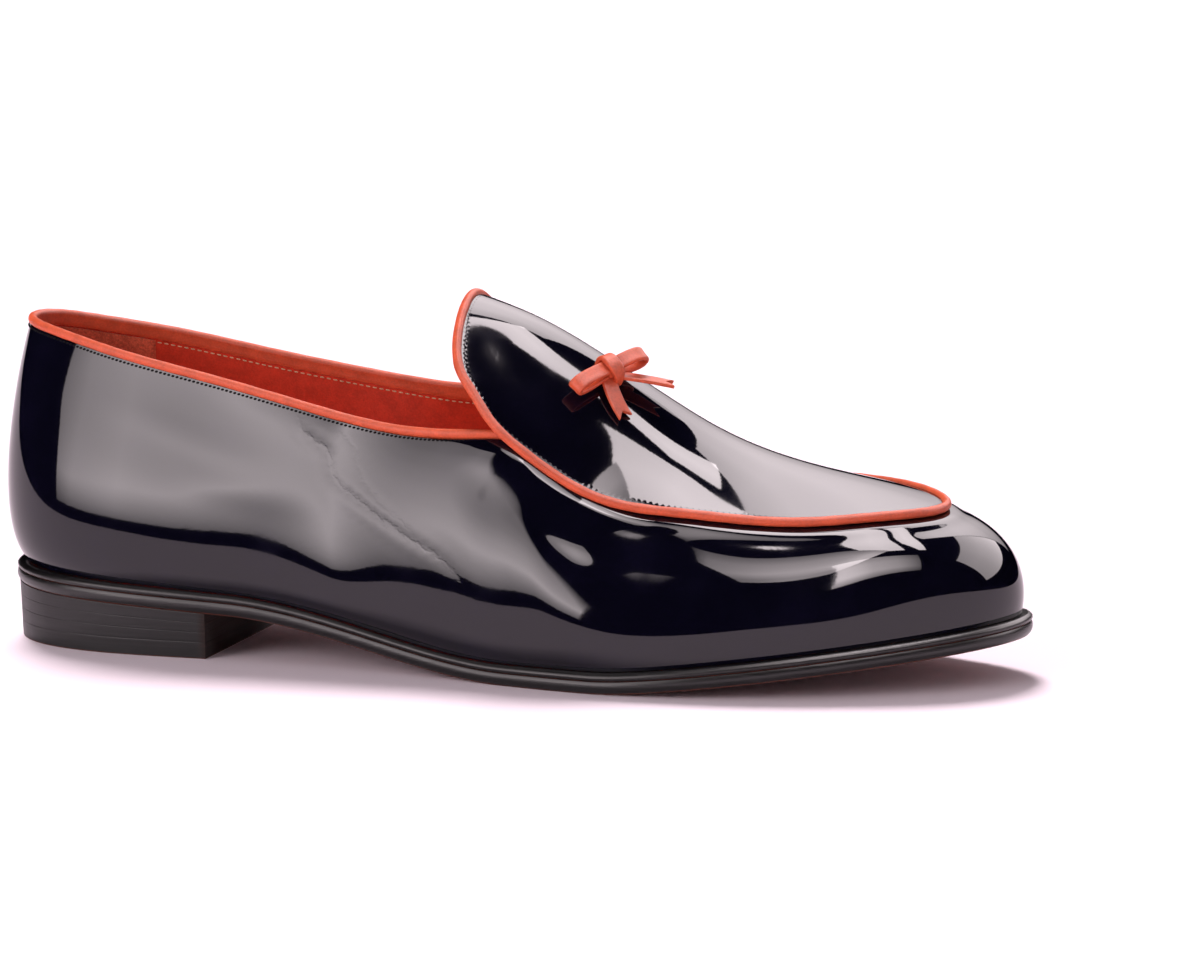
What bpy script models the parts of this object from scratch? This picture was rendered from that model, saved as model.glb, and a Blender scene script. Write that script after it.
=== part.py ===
"""Right belgian loafer: a lasted patent upper, a piped apron with a small bow, and a leather sole with a low heel.

Sizes are in millimetres, with the sole's back edge at X 0, the toe towards +X, the inner (medial) side of the
foot at +Y and the floor at Z 0. MM turns them into metres, and an empty moves the shoe's middle to the origin.
"""
import math

import bmesh
import bpy
import numpy as np
from mathutils import Matrix

MM = 0.001
GAP = 0.3                      # between pieces that meet
MIDDLE_X = 148.7               # middle of the shoe's box, which becomes the origin
MIDDLE_Y = -0.9
SHARP_ANGLE = 50.0             # edges sharper than this stay crisp

# Sole
SOLE_LENGTH = 300.0
HEEL_RADIUS = 31.0
TOE_RADIUS = 21.0
TOE_DRIFT = 7.0                # how far the toe's tip stands to the medial side of the heel's axis
DRIFT_FROM = 150.0
SOLE_WIDTHS = (                # x, medial and lateral half widths
    (34, 32.5, 33.5),
    (72, 31.0, 34.5),
    (112, 27.5, 36.5),
    (150, 34.0, 43.5),
    (188, 46.5, 50.0),
    (216, 48.5, 49.0),
    (250, 43.0, 39.5),
    (278, 32.5, 24.3),
)
OUTSOLE = 3.4
MIDSOLE = 2.1
SEAT_BACK = 16.5               # underside of the sole above the floor, at the heel's back
SEAT_BREAST = 13.2             # and at the heel's breast
BREAST_X = 69.0
WAIST_FROM = 75.0              # the arch comes down from here
FLAT_FROM = 162.0              # to the flat tread
FLAT_TO = 187.0
SPRING_SLOPE = 0.125           # toe spring
SPRING_EASE = 12.0
OUTSOLE_EDGE = (               # inset and share of the height, from the bottom up
    (1.0, 0.0),
    (0.1, 0.28),
    (0.0, 0.75),
    (0.35, 1.0),
)
MIDSOLE_EDGE = (
    (0.55, 0.0),
    (0.05, 0.3),
    (0.1, 0.65),
    (1.0, 1.0),
)
SOLE_STATIONS = 56             # points round each sole layer

# Heel
HEEL_INSET = 0.8
HEEL_TAPER = 0.7               # extra inset at the floor
TOP_PIECE = 4.8
LIFTS = 3
HEEL_STATIONS = 30

# Upper
UPPER_WALL = 2.0
FEATHER = (                    # x, how far the upper's foot stands inside the sole's edge
    (0, 3.2),
    (40, 2.7),
    (85, 1.9),
    (130, 1.5),
    (165, 2.0),
    (205, 3.1),
    (250, 3.2),
    (300, 3.2),
)
WALL_SHAPE = (                 # x, outward lean, pull of the foot, pull of the top (medial, lateral), collar's fall
    (3, 47, 47, 0.175, 0.455, 0.455, 75),
    (34, 36, 36, 0.18, 0.44, 0.44, 78),
    (72, 36, 36, 0.15, 0.46, 0.48, 80),
    (105, 36, 38, 0.14, 0.44, 0.44, 82),
    (130, 33, 38, 0.15, 0.42, 0.31, 83),
    (150, 29, 39, 0.13, 0.40, 0.185, 80),
    (170, 24, 31, 0.14, 0.40, 0.23, 76),
    (190, 18, 20, 0.22, 0.41, 0.38, 70),
    (230, 14, 14, 0.34, 0.43, 0.43, 60),
    (265, 12, 12, 0.37, 0.46, 0.46, 50),
    (297, 10, 10, 0.40, 0.50, 0.50, 50),
)
SIDE_BLEND = 12.0              # how soon the lateral shape turns into the medial one
UPPER_STATIONS = 84
UPPER_ROWS = 11

# Collar
COLLAR = (                     # x, half width and height of the top line, medial and then lateral
    (12, 14.3, 92.0, 14.3, 92.3),
    (34, 24.0, 87.8, 23.0, 87.9),
    (66, 28.0, 81.8, 26.0, 81.3),
    (97, 30.8, 76.4, 28.4, 74.7),
    (128, 33.2, 72.7, 30.8, 69.4),
    (146, 34.6, 72.4, 32.4, 69.4),
)
COLLAR_BLEND = 20.0            # half width of the change from the lateral height to the medial
COLLAR_BACK_X = 3.9
COLLAR_BACK_Z = 93.6
COLLAR_BACK_RADIUS = 17.0
COLLAR_AHEAD_X = 200.0         # the top line runs on under the apron to here
COLLAR_AHEAD_MEDIAL = 72.0
COLLAR_AHEAD_LATERAL = 69.0
BEAD = 1.35                    # radius of the binding and of the piping
BINDING_END_X = 153.0
BINDING_STATIONS = 48

# Apron
CREST = (                      # x, y and height of the crest, steepness of its sides, radius at the top
    (138, 2.0, 103.6, 0.80, 13.0),
    (156, 2.5, 97.4, 1.07, 13.5),
    (176, 3.5, 86.8, 1.20, 14.0),
    (192, 4.5, 77.0, 1.08, 14.0),
    (208, 6.0, 67.5, 0.80, 14.0),
    (226, 8.0, 60.0, 0.60, 15.0),
    (246, 10.0, 55.0, 0.47, 17.0),
    (264, 11.0, 51.3, 0.34, 20.0),
    (280, 11.0, 47.6, 0.28, 24.0),
)
CREST_FROM = 100.0
APRON_BACK = 138.5
APRON_TOE = 275.6
APRON_BACK_RADIUS = 120.0
APRON_TOE_RADIUS = 12.0
APRON_WIDTHS = (               # x, medial and lateral half widths of the seam
    (141, 23.0, 21.5),
    (146, 31.0, 28.4),
    (153, 34.8, 32.2),
    (162, 36.2, 33.6),
    (180, 36.0, 32.8),
    (205, 34.2, 29.5),
    (235, 30.4, 23.5),
    (260, 23.5, 14.3),
)
APRON_WALL = 1.5
APRON_STATIONS = 30
APRON_ACROSS = 12
PIPING_STATIONS = 72
PIPING_RISE = -0.2             # piping's middle from the apron's face
PIPING_GAP = 0.5               # from the piping to the apron's edge
LAP = 2.8                      # the vamp's edge under the apron, inside the seam
JUNCTION_X = 155.0             # where the collar runs under the apron
JUNCTION_BLEND = 4.0
FALL_FROM = 104.0              # the quarter's fall turns into the apron's between these
FALL_TO = 164.0
LAP_TOE_RADIUS = 10.0

# Insole
INSOLE = 2.5

# Bow
BOW_X = 181.0
BOW_Y = -4.7
BOW_TURN = 33.0                # degrees from straight across, far loop towards the toe
STRIP_WIDTH = 4.4
STRIP = 1.2
KNOT = (6.4, 7.0, 5.4)         # along the loops, along the shoe, out of the apron
KNOT_ROUND = 1.7
LOOP_REACH = 10.0
LOOP_FOOT = 1.2
LOOP_RISE = 3.8
LOOP_STATIONS = 20
TAIL_STATIONS = 10
TAILS = (                      # name, start along the loops, tip x, y and lift
    ("bow_tail_near", -2.5, 188.5, -12.8, 1.2),
    ("bow_tail_far", 2.5, 197.0, 6.0, 4.6),
)
TAIL_START = 1.5               # height of a tail's start over the apron
TAIL_GAP = 1.4                 # from the knot, clear of a tail's slanted end
TAIL_ARCH = 1.6

FINISHES = {                   # colour, roughness
    "black_patent": ((0.006, 0.006, 0.008), 0.06),
    "orange_leather": ((0.62, 0.105, 0.035), 0.42),
    "orange_lining": ((0.50, 0.085, 0.030), 0.60),
    "black_sole_edge": ((0.012, 0.011, 0.012), 0.30),
    "brown_sole_leather": ((0.16, 0.050, 0.030), 0.50),
    "black_heel": ((0.014, 0.013, 0.014), 0.35),
}


def spline(xs, ys):
    """Natural cubic curve through the points, as a function of x."""
    xs = np.asarray(xs, float)
    ys = np.asarray(ys, float)
    count = len(xs)
    step = np.diff(xs)
    matrix = np.eye(count)
    right = np.zeros(count)
    for i in range(1, count - 1):
        matrix[i, i - 1:i + 2] = step[i - 1], 2 * (step[i - 1] + step[i]), step[i]
        right[i] = 6 * ((ys[i + 1] - ys[i]) / step[i] - (ys[i] - ys[i - 1]) / step[i - 1])
    bend = np.linalg.solve(matrix, right)

    def curve(x):
        x = np.asarray(x, float)
        i = np.clip(np.searchsorted(xs, x) - 1, 0, count - 2)
        after = x - xs[i]
        before = xs[i + 1] - x
        cubic = (bend[i] * before**3 + bend[i + 1] * after**3) / (6 * step[i])
        first = (ys[i] / step[i] - bend[i] * step[i] / 6) * before
        second = (ys[i + 1] / step[i] - bend[i + 1] * step[i] / 6) * after
        return cubic + first + second

    return curve


def columns(table):
    """Curves over the first column of a table, one for each other column."""
    values = np.array(table, float)
    return [spline(values[:, 0], values[:, i]) for i in range(1, values.shape[1])]


def axis_y(x):
    """The foot's axis, straight from the heel and drifting to the medial side at the toe."""
    t = np.clip((np.asarray(x, float) - DRIFT_FROM) / (SOLE_LENGTH - DRIFT_FROM), 0, None)
    return TOE_DRIFT * t * t


class Plan:
    """Closed plan outline: x is a cosine of the angle, y a sine times a fullness that follows a table."""

    def __init__(self, back, toe, back_radius, toe_radius, widths):
        table = np.array(widths, float)
        xs = table[:, 0]
        self.mid = (back + toe) / 2
        self.half = (toe - back) / 2
        share = np.sqrt(1 - ((xs - self.mid) / self.half) ** 2)
        ends = np.sqrt(np.array((back_radius, toe_radius)) * self.half)
        self.fullness = []
        for column, sign in ((1, 1), (2, -1)):
            full = (table[:, column] - sign * axis_y(xs)) / share
            self.fullness.append(spline(np.r_[back, xs, toe], np.r_[ends[0], full, ends[1]]))

    def at(self, angle):
        """Plan points at the angles, 0 at the toe, medial side first."""
        x = self.mid + self.half * np.cos(angle)
        s = np.sin(angle)
        return x, axis_y(x) + s * np.where(s >= 0, self.fullness[0](x), self.fullness[1](x))

    def outward(self, angle):
        """Outward plan normals at the angles."""
        small = 1e-4
        x1, y1 = self.at(angle + small)
        x0, y0 = self.at(angle - small)
        length = np.hypot(x1 - x0, y1 - y0)
        return (y1 - y0) / length, -(x1 - x0) / length

    def inset(self, angle, distance):
        """Plan points moved inwards along the normals."""
        x, y = self.at(angle)
        nx, ny = self.outward(angle)
        return x - distance * nx, y - distance * ny

    def even_angles(self, count):
        """Angles whose plan points are the same distance apart, from the toe round to the toe."""
        angle = np.linspace(0, 2 * np.pi, 4001)
        x, y = self.at(angle)
        travel = np.r_[0, np.cumsum(np.hypot(np.diff(x), np.diff(y)))]
        return np.interp(np.arange(count) * travel[-1] / count, travel, angle)


sole_plan = Plan(0, SOLE_LENGTH, HEEL_RADIUS, TOE_RADIUS, SOLE_WIDTHS)
sole_angles = np.arange(SOLE_STATIONS) * 2 * np.pi / SOLE_STATIONS
apron_plan = Plan(APRON_BACK, APRON_TOE, APRON_BACK_RADIUS, APRON_TOE_RADIUS, APRON_WIDTHS)
collar_widths = [(x, medial, lateral) for x, medial, _, lateral, _ in COLLAR]
lap_widths = [(x, medial - LAP, lateral - LAP) for x, medial, lateral in APRON_WIDTHS if x > JUNCTION_X]
top_plan = Plan(COLLAR_BACK_X, APRON_TOE - LAP, COLLAR_BACK_RADIUS, LAP_TOE_RADIUS, collar_widths + lap_widths)
crest_y, crest_z, crest_steepness, crest_radius = columns(CREST)
lean_medial, lean_lateral, foot_pull, pull_medial, pull_lateral, collar_fall = columns(WALL_SHAPE)
feather_inset = columns(FEATHER)[0]


def under_z(x):
    """Underside of the sole: a sloping heel seat, the arch, the flat tread and the toe spring."""
    x = np.asarray(x, float)
    slope = (SEAT_BACK - SEAT_BREAST) / BREAST_X
    reach = FLAT_FROM - WAIST_FROM
    t = np.clip((FLAT_FROM - x) / reach, 0, 1)
    arch_top = SEAT_BACK - slope * WAIST_FROM
    arch = arch_top * (3 * t**2 - 2 * t**3) + slope * reach * (t**3 - t**2)
    past = np.clip(x - FLAT_TO, 0, None)
    spring = SPRING_SLOPE * (np.hypot(past, SPRING_EASE) - SPRING_EASE)
    return np.where(x < WAIST_FROM, SEAT_BACK - slope * x, arch + spring)


def top_z(x):
    """Upper face of the sole, where the upper and the insole stand."""
    return under_z(x) + OUTSOLE + GAP + MIDSOLE


def apron_z(x, y):
    """The apron's face: a crest line with sides that fall as a hyperbola does."""
    x = np.maximum(x, CREST_FROM)
    across = y - crest_y(x)
    radius = crest_radius(x)
    return crest_z(x) - crest_steepness(x) * (np.hypot(across, radius) - radius)


def apron_slopes(x, y):
    small = 0.05
    along = (apron_z(x + small, y) - apron_z(x - small, y)) / (2 * small)
    across = (apron_z(x, y + small) - apron_z(x, y - small)) / (2 * small)
    return along, across


def on_apron(x, y, lift=0.0):
    """Points at a distance from the apron's face along its normals."""
    along, across = apron_slopes(x, y)
    normal = np.stack([-along, -across, np.ones_like(along)], -1)
    normal /= np.linalg.norm(normal, axis=-1, keepdims=True)
    return np.stack([x, y, apron_z(x, y)], -1) + lift * normal


def collar_z(x, medial_share):
    """Height of the top line, carried on under the apron."""
    table = np.array(COLLAR, float)
    xs = np.r_[COLLAR_BACK_X, table[:, 0], COLLAR_AHEAD_X]
    medial = spline(xs, np.r_[COLLAR_BACK_Z, table[:, 2], COLLAR_AHEAD_MEDIAL])(x)
    lateral = spline(xs, np.r_[COLLAR_BACK_Z, table[:, 4], COLLAR_AHEAD_LATERAL])(x)
    return medial * medial_share + lateral * (1 - medial_share)


def smooth_min(a, b, blend):
    share = np.clip(0.5 + 0.5 * (b - a) / blend, 0, 1)
    return b * (1 - share) + a * share - blend * share * (1 - share)


def smooth_step(x, start, end):
    t = np.clip((x - start) / (end - start), 0, 1)
    return t * t * (3 - 2 * t)


def top_edge(angle):
    """The upper's own top edge: just under the binding at the collar, and under the apron at the vamp."""
    x, y = top_plan.at(angle)
    along, across = apron_slopes(x, y)
    under_apron = apron_z(x, y) - (APRON_WALL + GAP) * np.sqrt(1 + along**2 + across**2)
    collar = collar_z(x, smooth_step(y, -COLLAR_BLEND, COLLAR_BLEND)) - 2 * BEAD - GAP
    return np.stack([x, y, smooth_min(collar, under_apron, JUNCTION_BLEND)], -1)


def upper_face(angle, share):
    """Outer face of the upper: at each angle a cubic curve from the sole up to the top edge.

    It leaves the sole with an outward lean, and comes up to the top edge with the collar's or the apron's fall.
    """
    fx, fy = sole_plan.inset(angle, feather_inset(sole_plan.at(angle)[0]))
    foot = np.stack([fx, fy, top_z(fx) + GAP], -1)
    top = top_edge(angle)
    up = np.array((0, 0, 1.0))
    foot_out = np.stack([*sole_plan.outward(angle), 0 * fx], -1)
    top_out = np.stack([*top_plan.outward(angle), 0 * fx], -1)
    medial_share = 0.5 + 0.5 * np.tanh(fy / SIDE_BLEND)
    lean = np.radians(lean_medial(fx) * medial_share + lean_lateral(fx) * (1 - medial_share))
    top_pull = pull_medial(fx) * medial_share + pull_lateral(fx) * (1 - medial_share)
    along, across = apron_slopes(top[:, 0], top[:, 1])
    apron_fall = np.arctan(-along * top_out[:, 0] - across * top_out[:, 1])
    ahead = smooth_step(top[:, 0], FALL_FROM, FALL_TO)
    fall = np.radians(collar_fall(fx)) * (1 - ahead) + apron_fall * ahead
    chord = np.linalg.norm(top - foot, axis=1)
    foot_way = foot_out * np.sin(lean)[:, None] + up * np.cos(lean)[:, None]
    top_way = top_out * np.cos(fall)[:, None] - up * np.sin(fall)[:, None]
    corners = np.stack([foot, foot + foot_way * (chord * foot_pull(fx))[:, None],
                        top + top_way * (chord * top_pull)[:, None], top], 1)
    rest = 1 - share
    weights = np.stack([rest**3, 3 * share * rest**2, 3 * share**2 * rest, share**3], -1)
    return np.einsum("sk,akc->asc", weights, corners)


def make_finish(name):
    colour, roughness = FINISHES[name]
    finish = bpy.data.materials.new(name)
    finish.use_nodes = True
    shader = finish.node_tree.nodes["Principled BSDF"]
    shader.inputs["Base Color"].default_value = (*colour, 1)
    shader.inputs["Roughness"].default_value = roughness
    shader.inputs["Metallic"].default_value = 0
    return finish


def add_object(name, data, finish):
    piece = bpy.data.objects.new(name, data)
    loafer.objects.link(piece)
    piece.parent = middle
    data.materials.append(finishes[finish])
    return piece


def add_mesh(name, points, faces, finish):
    """A mesh object from points in millimetres, with points that fall together merged."""
    mesh = bpy.data.meshes.new(name)
    mesh.from_pydata((np.reshape(points, (-1, 3)) * MM).tolist(), [], faces)
    work = bmesh.new()
    work.from_mesh(mesh)
    bmesh.ops.remove_doubles(work, verts=work.verts, dist=1e-6)
    work.to_mesh(mesh)
    work.free()
    mesh.shade_smooth()
    mesh.set_sharp_from_angle(angle=math.radians(SHARP_ANGLE))
    return add_object(name, mesh, finish)


def grid_faces(rows, across, closed):
    """Quads of a grid that is stored row by row; closed joins the last row to the first."""
    faces = []
    for i in range(rows if closed else rows - 1):
        here = i * across
        there = (i + 1) % rows * across
        for j in range(across - 1):
            faces.append((here + j, there + j, there + j + 1, here + j + 1))
    return faces


def thicken(piece, thickness, offset):
    """Solidify: offset -1 grows the wall inwards from the face, 0 to both sides."""
    wall = piece.modifiers.new("wall", "SOLIDIFY")
    wall.thickness = thickness * MM
    wall.offset = offset
    return piece


def add_tube(name, points, closed, finish):
    """A bead of the binding's radius along the points."""
    curve = bpy.data.curves.new(name, "CURVE")
    curve.dimensions = "3D"
    curve.bevel_depth = BEAD * MM
    curve.bevel_resolution = 2
    curve.use_fill_caps = True
    path = curve.splines.new("POLY")
    path.points.add(len(points) - 1)
    path.points.foreach_set("co", np.c_[points * MM, np.ones(len(points))].ravel())
    path.use_cyclic_u = closed
    return add_object(name, curve, finish)


def add_layer(name, rings, finish):
    """A solid from closed rings of points, bottom ring first, capped with rows straight across."""
    count = len(rings[0])
    levels = len(rings)
    half = count // 2
    faces = []
    for level in range(levels - 1):
        for k in range(count):
            after = (k + 1) % count
            low = level * count
            faces.append((low + k, low + after, low + count + after, low + count + k))
    for base, upward in ((0, False), ((levels - 1) * count, True)):
        cap = [(0, 1, count - 1), (half - 1, half, half + 1)]
        cap += [(k, k + 1, count - k - 1, count - k) for k in range(1, half - 1)]
        for corners in cap:
            face = [base + k for k in corners]
            faces.append(face if upward else face[::-1])
    return add_mesh(name, np.concatenate(rings), faces, finish)


def sole_ring(inset, height):
    """A ring inside the sole's outline, at a height that depends on x."""
    x, y = sole_plan.inset(sole_angles, inset)
    return np.stack([x, y, height(x)], -1)


def sole_layer(name, edge, low, thickness, finish):
    rings = [sole_ring(inset, lambda x, s=share: low(x) + s * thickness) for inset, share in edge]
    return add_layer(name, rings, finish)


def build_sole():
    sole_layer("outsole", OUTSOLE_EDGE, under_z, OUTSOLE, "brown_sole_leather")
    sole_layer("midsole", MIDSOLE_EDGE, lambda x: under_z(x) + OUTSOLE + GAP, MIDSOLE, "black_sole_edge")
    inset = feather_inset(sole_plan.at(sole_angles)[0]) + UPPER_WALL + GAP
    edge = ((inset, 0.0), (inset, 1.0))
    sole_layer("insole", edge, lambda x: top_z(x) + GAP, INSOLE, "orange_lining")


def heel_ring(height, share_up):
    """D-shaped ring of the heel, straight across at the breast, tapering towards the floor."""
    corner = np.arccos((BREAST_X - sole_plan.mid) / sole_plan.half)
    angle = np.linspace(corner, 2 * np.pi - corner, HEEL_STATIONS)
    x, y = sole_plan.inset(angle, HEEL_INSET + HEEL_TAPER * (1 - share_up))
    x[[0, -1]] = BREAST_X
    return np.stack([x, y, height(x)], -1)


def add_heel_piece(name, low, high, share_low, share_high, finish):
    rings = heel_ring(low, share_low), heel_ring(high, share_high)
    count = HEEL_STATIONS
    sides = [(k, (k + 1) % count, count + (k + 1) % count, count + k) for k in range(count)]
    caps = [tuple(range(count))[::-1], tuple(range(count, 2 * count))]
    return add_mesh(name, np.concatenate(rings), sides + caps, finish)


def build_heel():
    """The top piece on the floor, and wedge-shaped lifts that share the height up to the seat."""
    def level(k):
        return lambda x: TOP_PIECE + (under_z(x) - TOP_PIECE) * k / LIFTS

    share = TOP_PIECE / SEAT_BACK
    add_heel_piece("heel_top_piece", lambda x: 0 * x, lambda x: TOP_PIECE + 0 * x, 0, share, "black_heel")
    for k in range(LIFTS):
        shares = [share + (1 - share) * edge / LIFTS for edge in (k, k + 1)]
        low, high = level(k), level(k + 1)
        top_gap = GAP if k == LIFTS - 1 else 0
        add_heel_piece(f"heel_lift_{k + 1}", lambda x: low(x) + GAP, lambda x: high(x) - top_gap,
                       *shares, "black_heel")


def build_upper():
    angle = sole_plan.even_angles(UPPER_STATIONS)
    face = upper_face(angle, np.linspace(0, 1, UPPER_ROWS))
    piece = add_mesh("upper", face, grid_faces(UPPER_STATIONS, UPPER_ROWS, True), "black_patent")
    thicken(piece, UPPER_WALL, -1)


def build_apron():
    """The apron's face over rows straight across its outline, which stops beside the piping."""
    angle = np.linspace(0, np.pi, APRON_STATIONS)
    edges = []
    for side in (-angle, angle):
        x, y = apron_plan.at(side)
        nx, ny = apron_plan.outward(side)
        along, across = apron_slopes(x, y)
        level_share = 1 / np.hypot(1, along * nx + across * ny)
        edges.append(np.stack(apron_plan.inset(side, (BEAD + PIPING_GAP) * level_share), -1))
    share = np.linspace(0, 1, APRON_ACROSS)[None, :, None]
    rows = edges[1][:, None] * (1 - share) + edges[0][:, None] * share
    face = on_apron(rows[..., 0], rows[..., 1])
    piece = add_mesh("apron", face, grid_faces(APRON_STATIONS, APRON_ACROSS, False), "black_patent")
    thicken(piece, APRON_WALL, -1)


def build_piping():
    x, y = apron_plan.at(apron_plan.even_angles(PIPING_STATIONS))
    add_tube("apron_piping", on_apron(x, y, PIPING_RISE), True, "orange_leather")


def build_binding():
    """The bead on the collar's edge, from the medial end round the heel to the lateral end."""
    end = np.arccos((BINDING_END_X - top_plan.mid) / top_plan.half)
    angle = np.linspace(end, 2 * np.pi - end, BINDING_STATIONS)
    points = top_edge(angle)
    points[:, :2] -= UPPER_WALL / 2 * np.stack(top_plan.outward(angle), -1)
    points[:, 2] += GAP + BEAD
    add_tube("collar_binding", points, False, "orange_leather")


def bow_frame():
    """The bow's seat on the apron, with its axes along the loops, towards the toe and out of the apron."""
    seat = on_apron(np.array(BOW_X), np.array(BOW_Y))
    out = on_apron(np.array(BOW_X), np.array(BOW_Y), 1.0) - seat
    turn = math.radians(BOW_TURN)
    level = np.array((math.sin(turn), math.cos(turn), 0))
    loops = level - out * (level @ out)
    loops /= np.linalg.norm(loops)
    return seat, loops, np.cross(loops, out), out


def add_strip(name, path, across):
    """A leather strip along a path, its width along the across vectors."""
    half = across * STRIP_WIDTH / 2
    points = np.stack([path - half, path + half], 1)
    piece = add_mesh(name, points, grid_faces(len(path), 2, False), "orange_leather")
    return thicken(piece, STRIP, 0)


def build_bow():
    """The knot, two folded loops straight out of its ends, and two tails that drape towards the toe."""
    seat, loops, forward, out = bow_frame()
    mesh = bpy.data.meshes.new("bow_knot")
    work = bmesh.new()
    bmesh.ops.create_cube(work, size=1, matrix=Matrix.Diagonal((*KNOT, 1)) * MM)
    work.to_mesh(mesh)
    work.free()
    mesh.shade_smooth()
    knot = add_object("bow_knot", mesh, "orange_leather")
    centre = seat + out * (GAP + KNOT[2] / 2)
    knot.matrix_local = Matrix((*zip(loops, forward, out, centre * MM), (0, 0, 0, 1)))
    edge = knot.modifiers.new("edge", "BEVEL")
    edge.width = KNOT_ROUND * MM
    edge.segments = 3

    turn = np.linspace(0, 2 * np.pi, LOOP_STATIONS)
    reach = KNOT[0] / 2 + GAP + LOOP_REACH * (1 - np.cos(turn)) / 2
    height = LOOP_FOOT + LOOP_RISE * (turn - np.sin(turn)) / (2 * np.pi)
    for name, side in (("bow_loop_near", -1), ("bow_loop_far", 1)):
        path = seat + np.outer(side * reach, loops) + np.outer(height, out)
        add_strip(name, path, forward)

    t = np.linspace(0, 1, TAIL_STATIONS)[:, None]
    for name, start, tip_x, tip_y, tip_lift in TAILS:
        root = seat + start * loops + (KNOT[1] / 2 + TAIL_GAP) * forward + TAIL_START * out
        tip = on_apron(np.array(tip_x), np.array(tip_y), tip_lift)
        arch = (root + tip) / 2 + TAIL_ARCH * out
        path = root * (1 - t) ** 2 + arch * 2 * t * (1 - t) + tip * t**2
        across = np.cross(np.gradient(path, axis=0), out)
        across /= np.linalg.norm(across, axis=1, keepdims=True)
        add_strip(name, path, across)


for old in list(bpy.data.objects):
    bpy.data.objects.remove(old)

loafer = bpy.data.collections.new("belgian_loafer")
bpy.context.scene.collection.children.link(loafer)
middle = bpy.data.objects.new("middle", None)
middle.location = (-MIDDLE_X * MM, -MIDDLE_Y * MM, 0)
loafer.objects.link(middle)
finishes = {name: make_finish(name) for name in FINISHES}

build_sole()
build_heel()
build_upper()
build_apron()
build_piping()
build_binding()
build_bow()
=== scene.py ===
"""Dresses the right belgian loafer: patent panels, orange trim and lining, stitches, bow, sole and studio.

Shapes are in millimetres in the maker's frame: the sole's back edge at X 0, the toe towards +X, the inner
(medial) side of the foot at +Y and the floor at Z 0. to_world turns them into metres about the middle.
"""

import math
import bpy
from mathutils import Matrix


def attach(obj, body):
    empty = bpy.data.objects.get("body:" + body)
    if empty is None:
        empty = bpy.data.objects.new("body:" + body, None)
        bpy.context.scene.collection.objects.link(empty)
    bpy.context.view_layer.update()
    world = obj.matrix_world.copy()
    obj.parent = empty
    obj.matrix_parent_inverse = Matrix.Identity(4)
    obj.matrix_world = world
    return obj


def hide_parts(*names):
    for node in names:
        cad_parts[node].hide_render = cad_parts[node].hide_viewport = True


bl_info = {
    "name": "Belgian Loafer",
    "version": (1, 0, 0),
    "blender": (4, 5, 0),
    "location": "View3D > Sidebar > Loafer",
    "description": "Dresses a right belgian loafer in black patent with orange piping, lining and bow",
    "category": "Object",
}

import bmesh
import bpy
import numpy as np
from bpy.props import FloatProperty, FloatVectorProperty, PointerProperty
from mathutils import Matrix, Vector

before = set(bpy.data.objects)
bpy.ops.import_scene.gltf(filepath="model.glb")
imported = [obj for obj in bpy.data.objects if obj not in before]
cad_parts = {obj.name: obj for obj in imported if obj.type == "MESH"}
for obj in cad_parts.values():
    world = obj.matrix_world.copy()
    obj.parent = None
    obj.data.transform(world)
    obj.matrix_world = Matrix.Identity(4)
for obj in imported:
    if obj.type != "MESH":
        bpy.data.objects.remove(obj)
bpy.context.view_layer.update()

MM = 0.001
GAP = 0.3  # between pieces that meet
HAIR = 0.02  # between layers that lie on each other
MIDDLE = np.array((148.7, -0.9, 0.0))
TURN = 2 * np.pi
SHARP_ANGLE = 48.0  # edges sharper than this stay sharp

# Sole
SOLE_LENGTH = 300.0
HEEL_RADIUS = 31.0
TOE_RADIUS = 21.0
TOE_DRIFT = 7.0
DRIFT_FROM = 150.0
SOLE_WIDTHS = (  # x, medial and lateral half widths
    (34, 32.5, 33.5),
    (72, 31.0, 34.5),
    (112, 27.5, 36.5),
    (150, 34.0, 43.5),
    (188, 46.5, 50.0),
    (216, 48.5, 49.0),
    (250, 43.0, 39.5),
    (278, 32.5, 24.3),
)
OUTSOLE = 3.4
OUTSOLE_EDGE = (0.9, 0.22, 0.25)  # inset at the bottom, bulge and inset at the top
MIDSOLE = 2.1
MIDSOLE_EDGE = (0.5, 0.30, 1.15)
SEAT_BACK = 16.5
SEAT_BREAST = 13.2
BREAST_X = 69.0
WAIST_FROM = 75.0
FLAT_FROM = 162.0
FLAT_TO = 187.0
SPRING_SLOPE = 0.125
SPRING_EASE = 12.0
HEEL_INSET = 0.8
HEEL_TAPER = 0.7
HEEL_BEVEL = 0.05
HEEL_STATIONS = 96
TOP_PIECE = 4.8
LIFTS = 3
INSOLE = 2.5
HEEL_HOLLOW = 0.5  # depth of the insole's hollow under the heel
HOLLOW_X = 40.0
HOLLOW_WIDTH = 26.0

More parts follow.
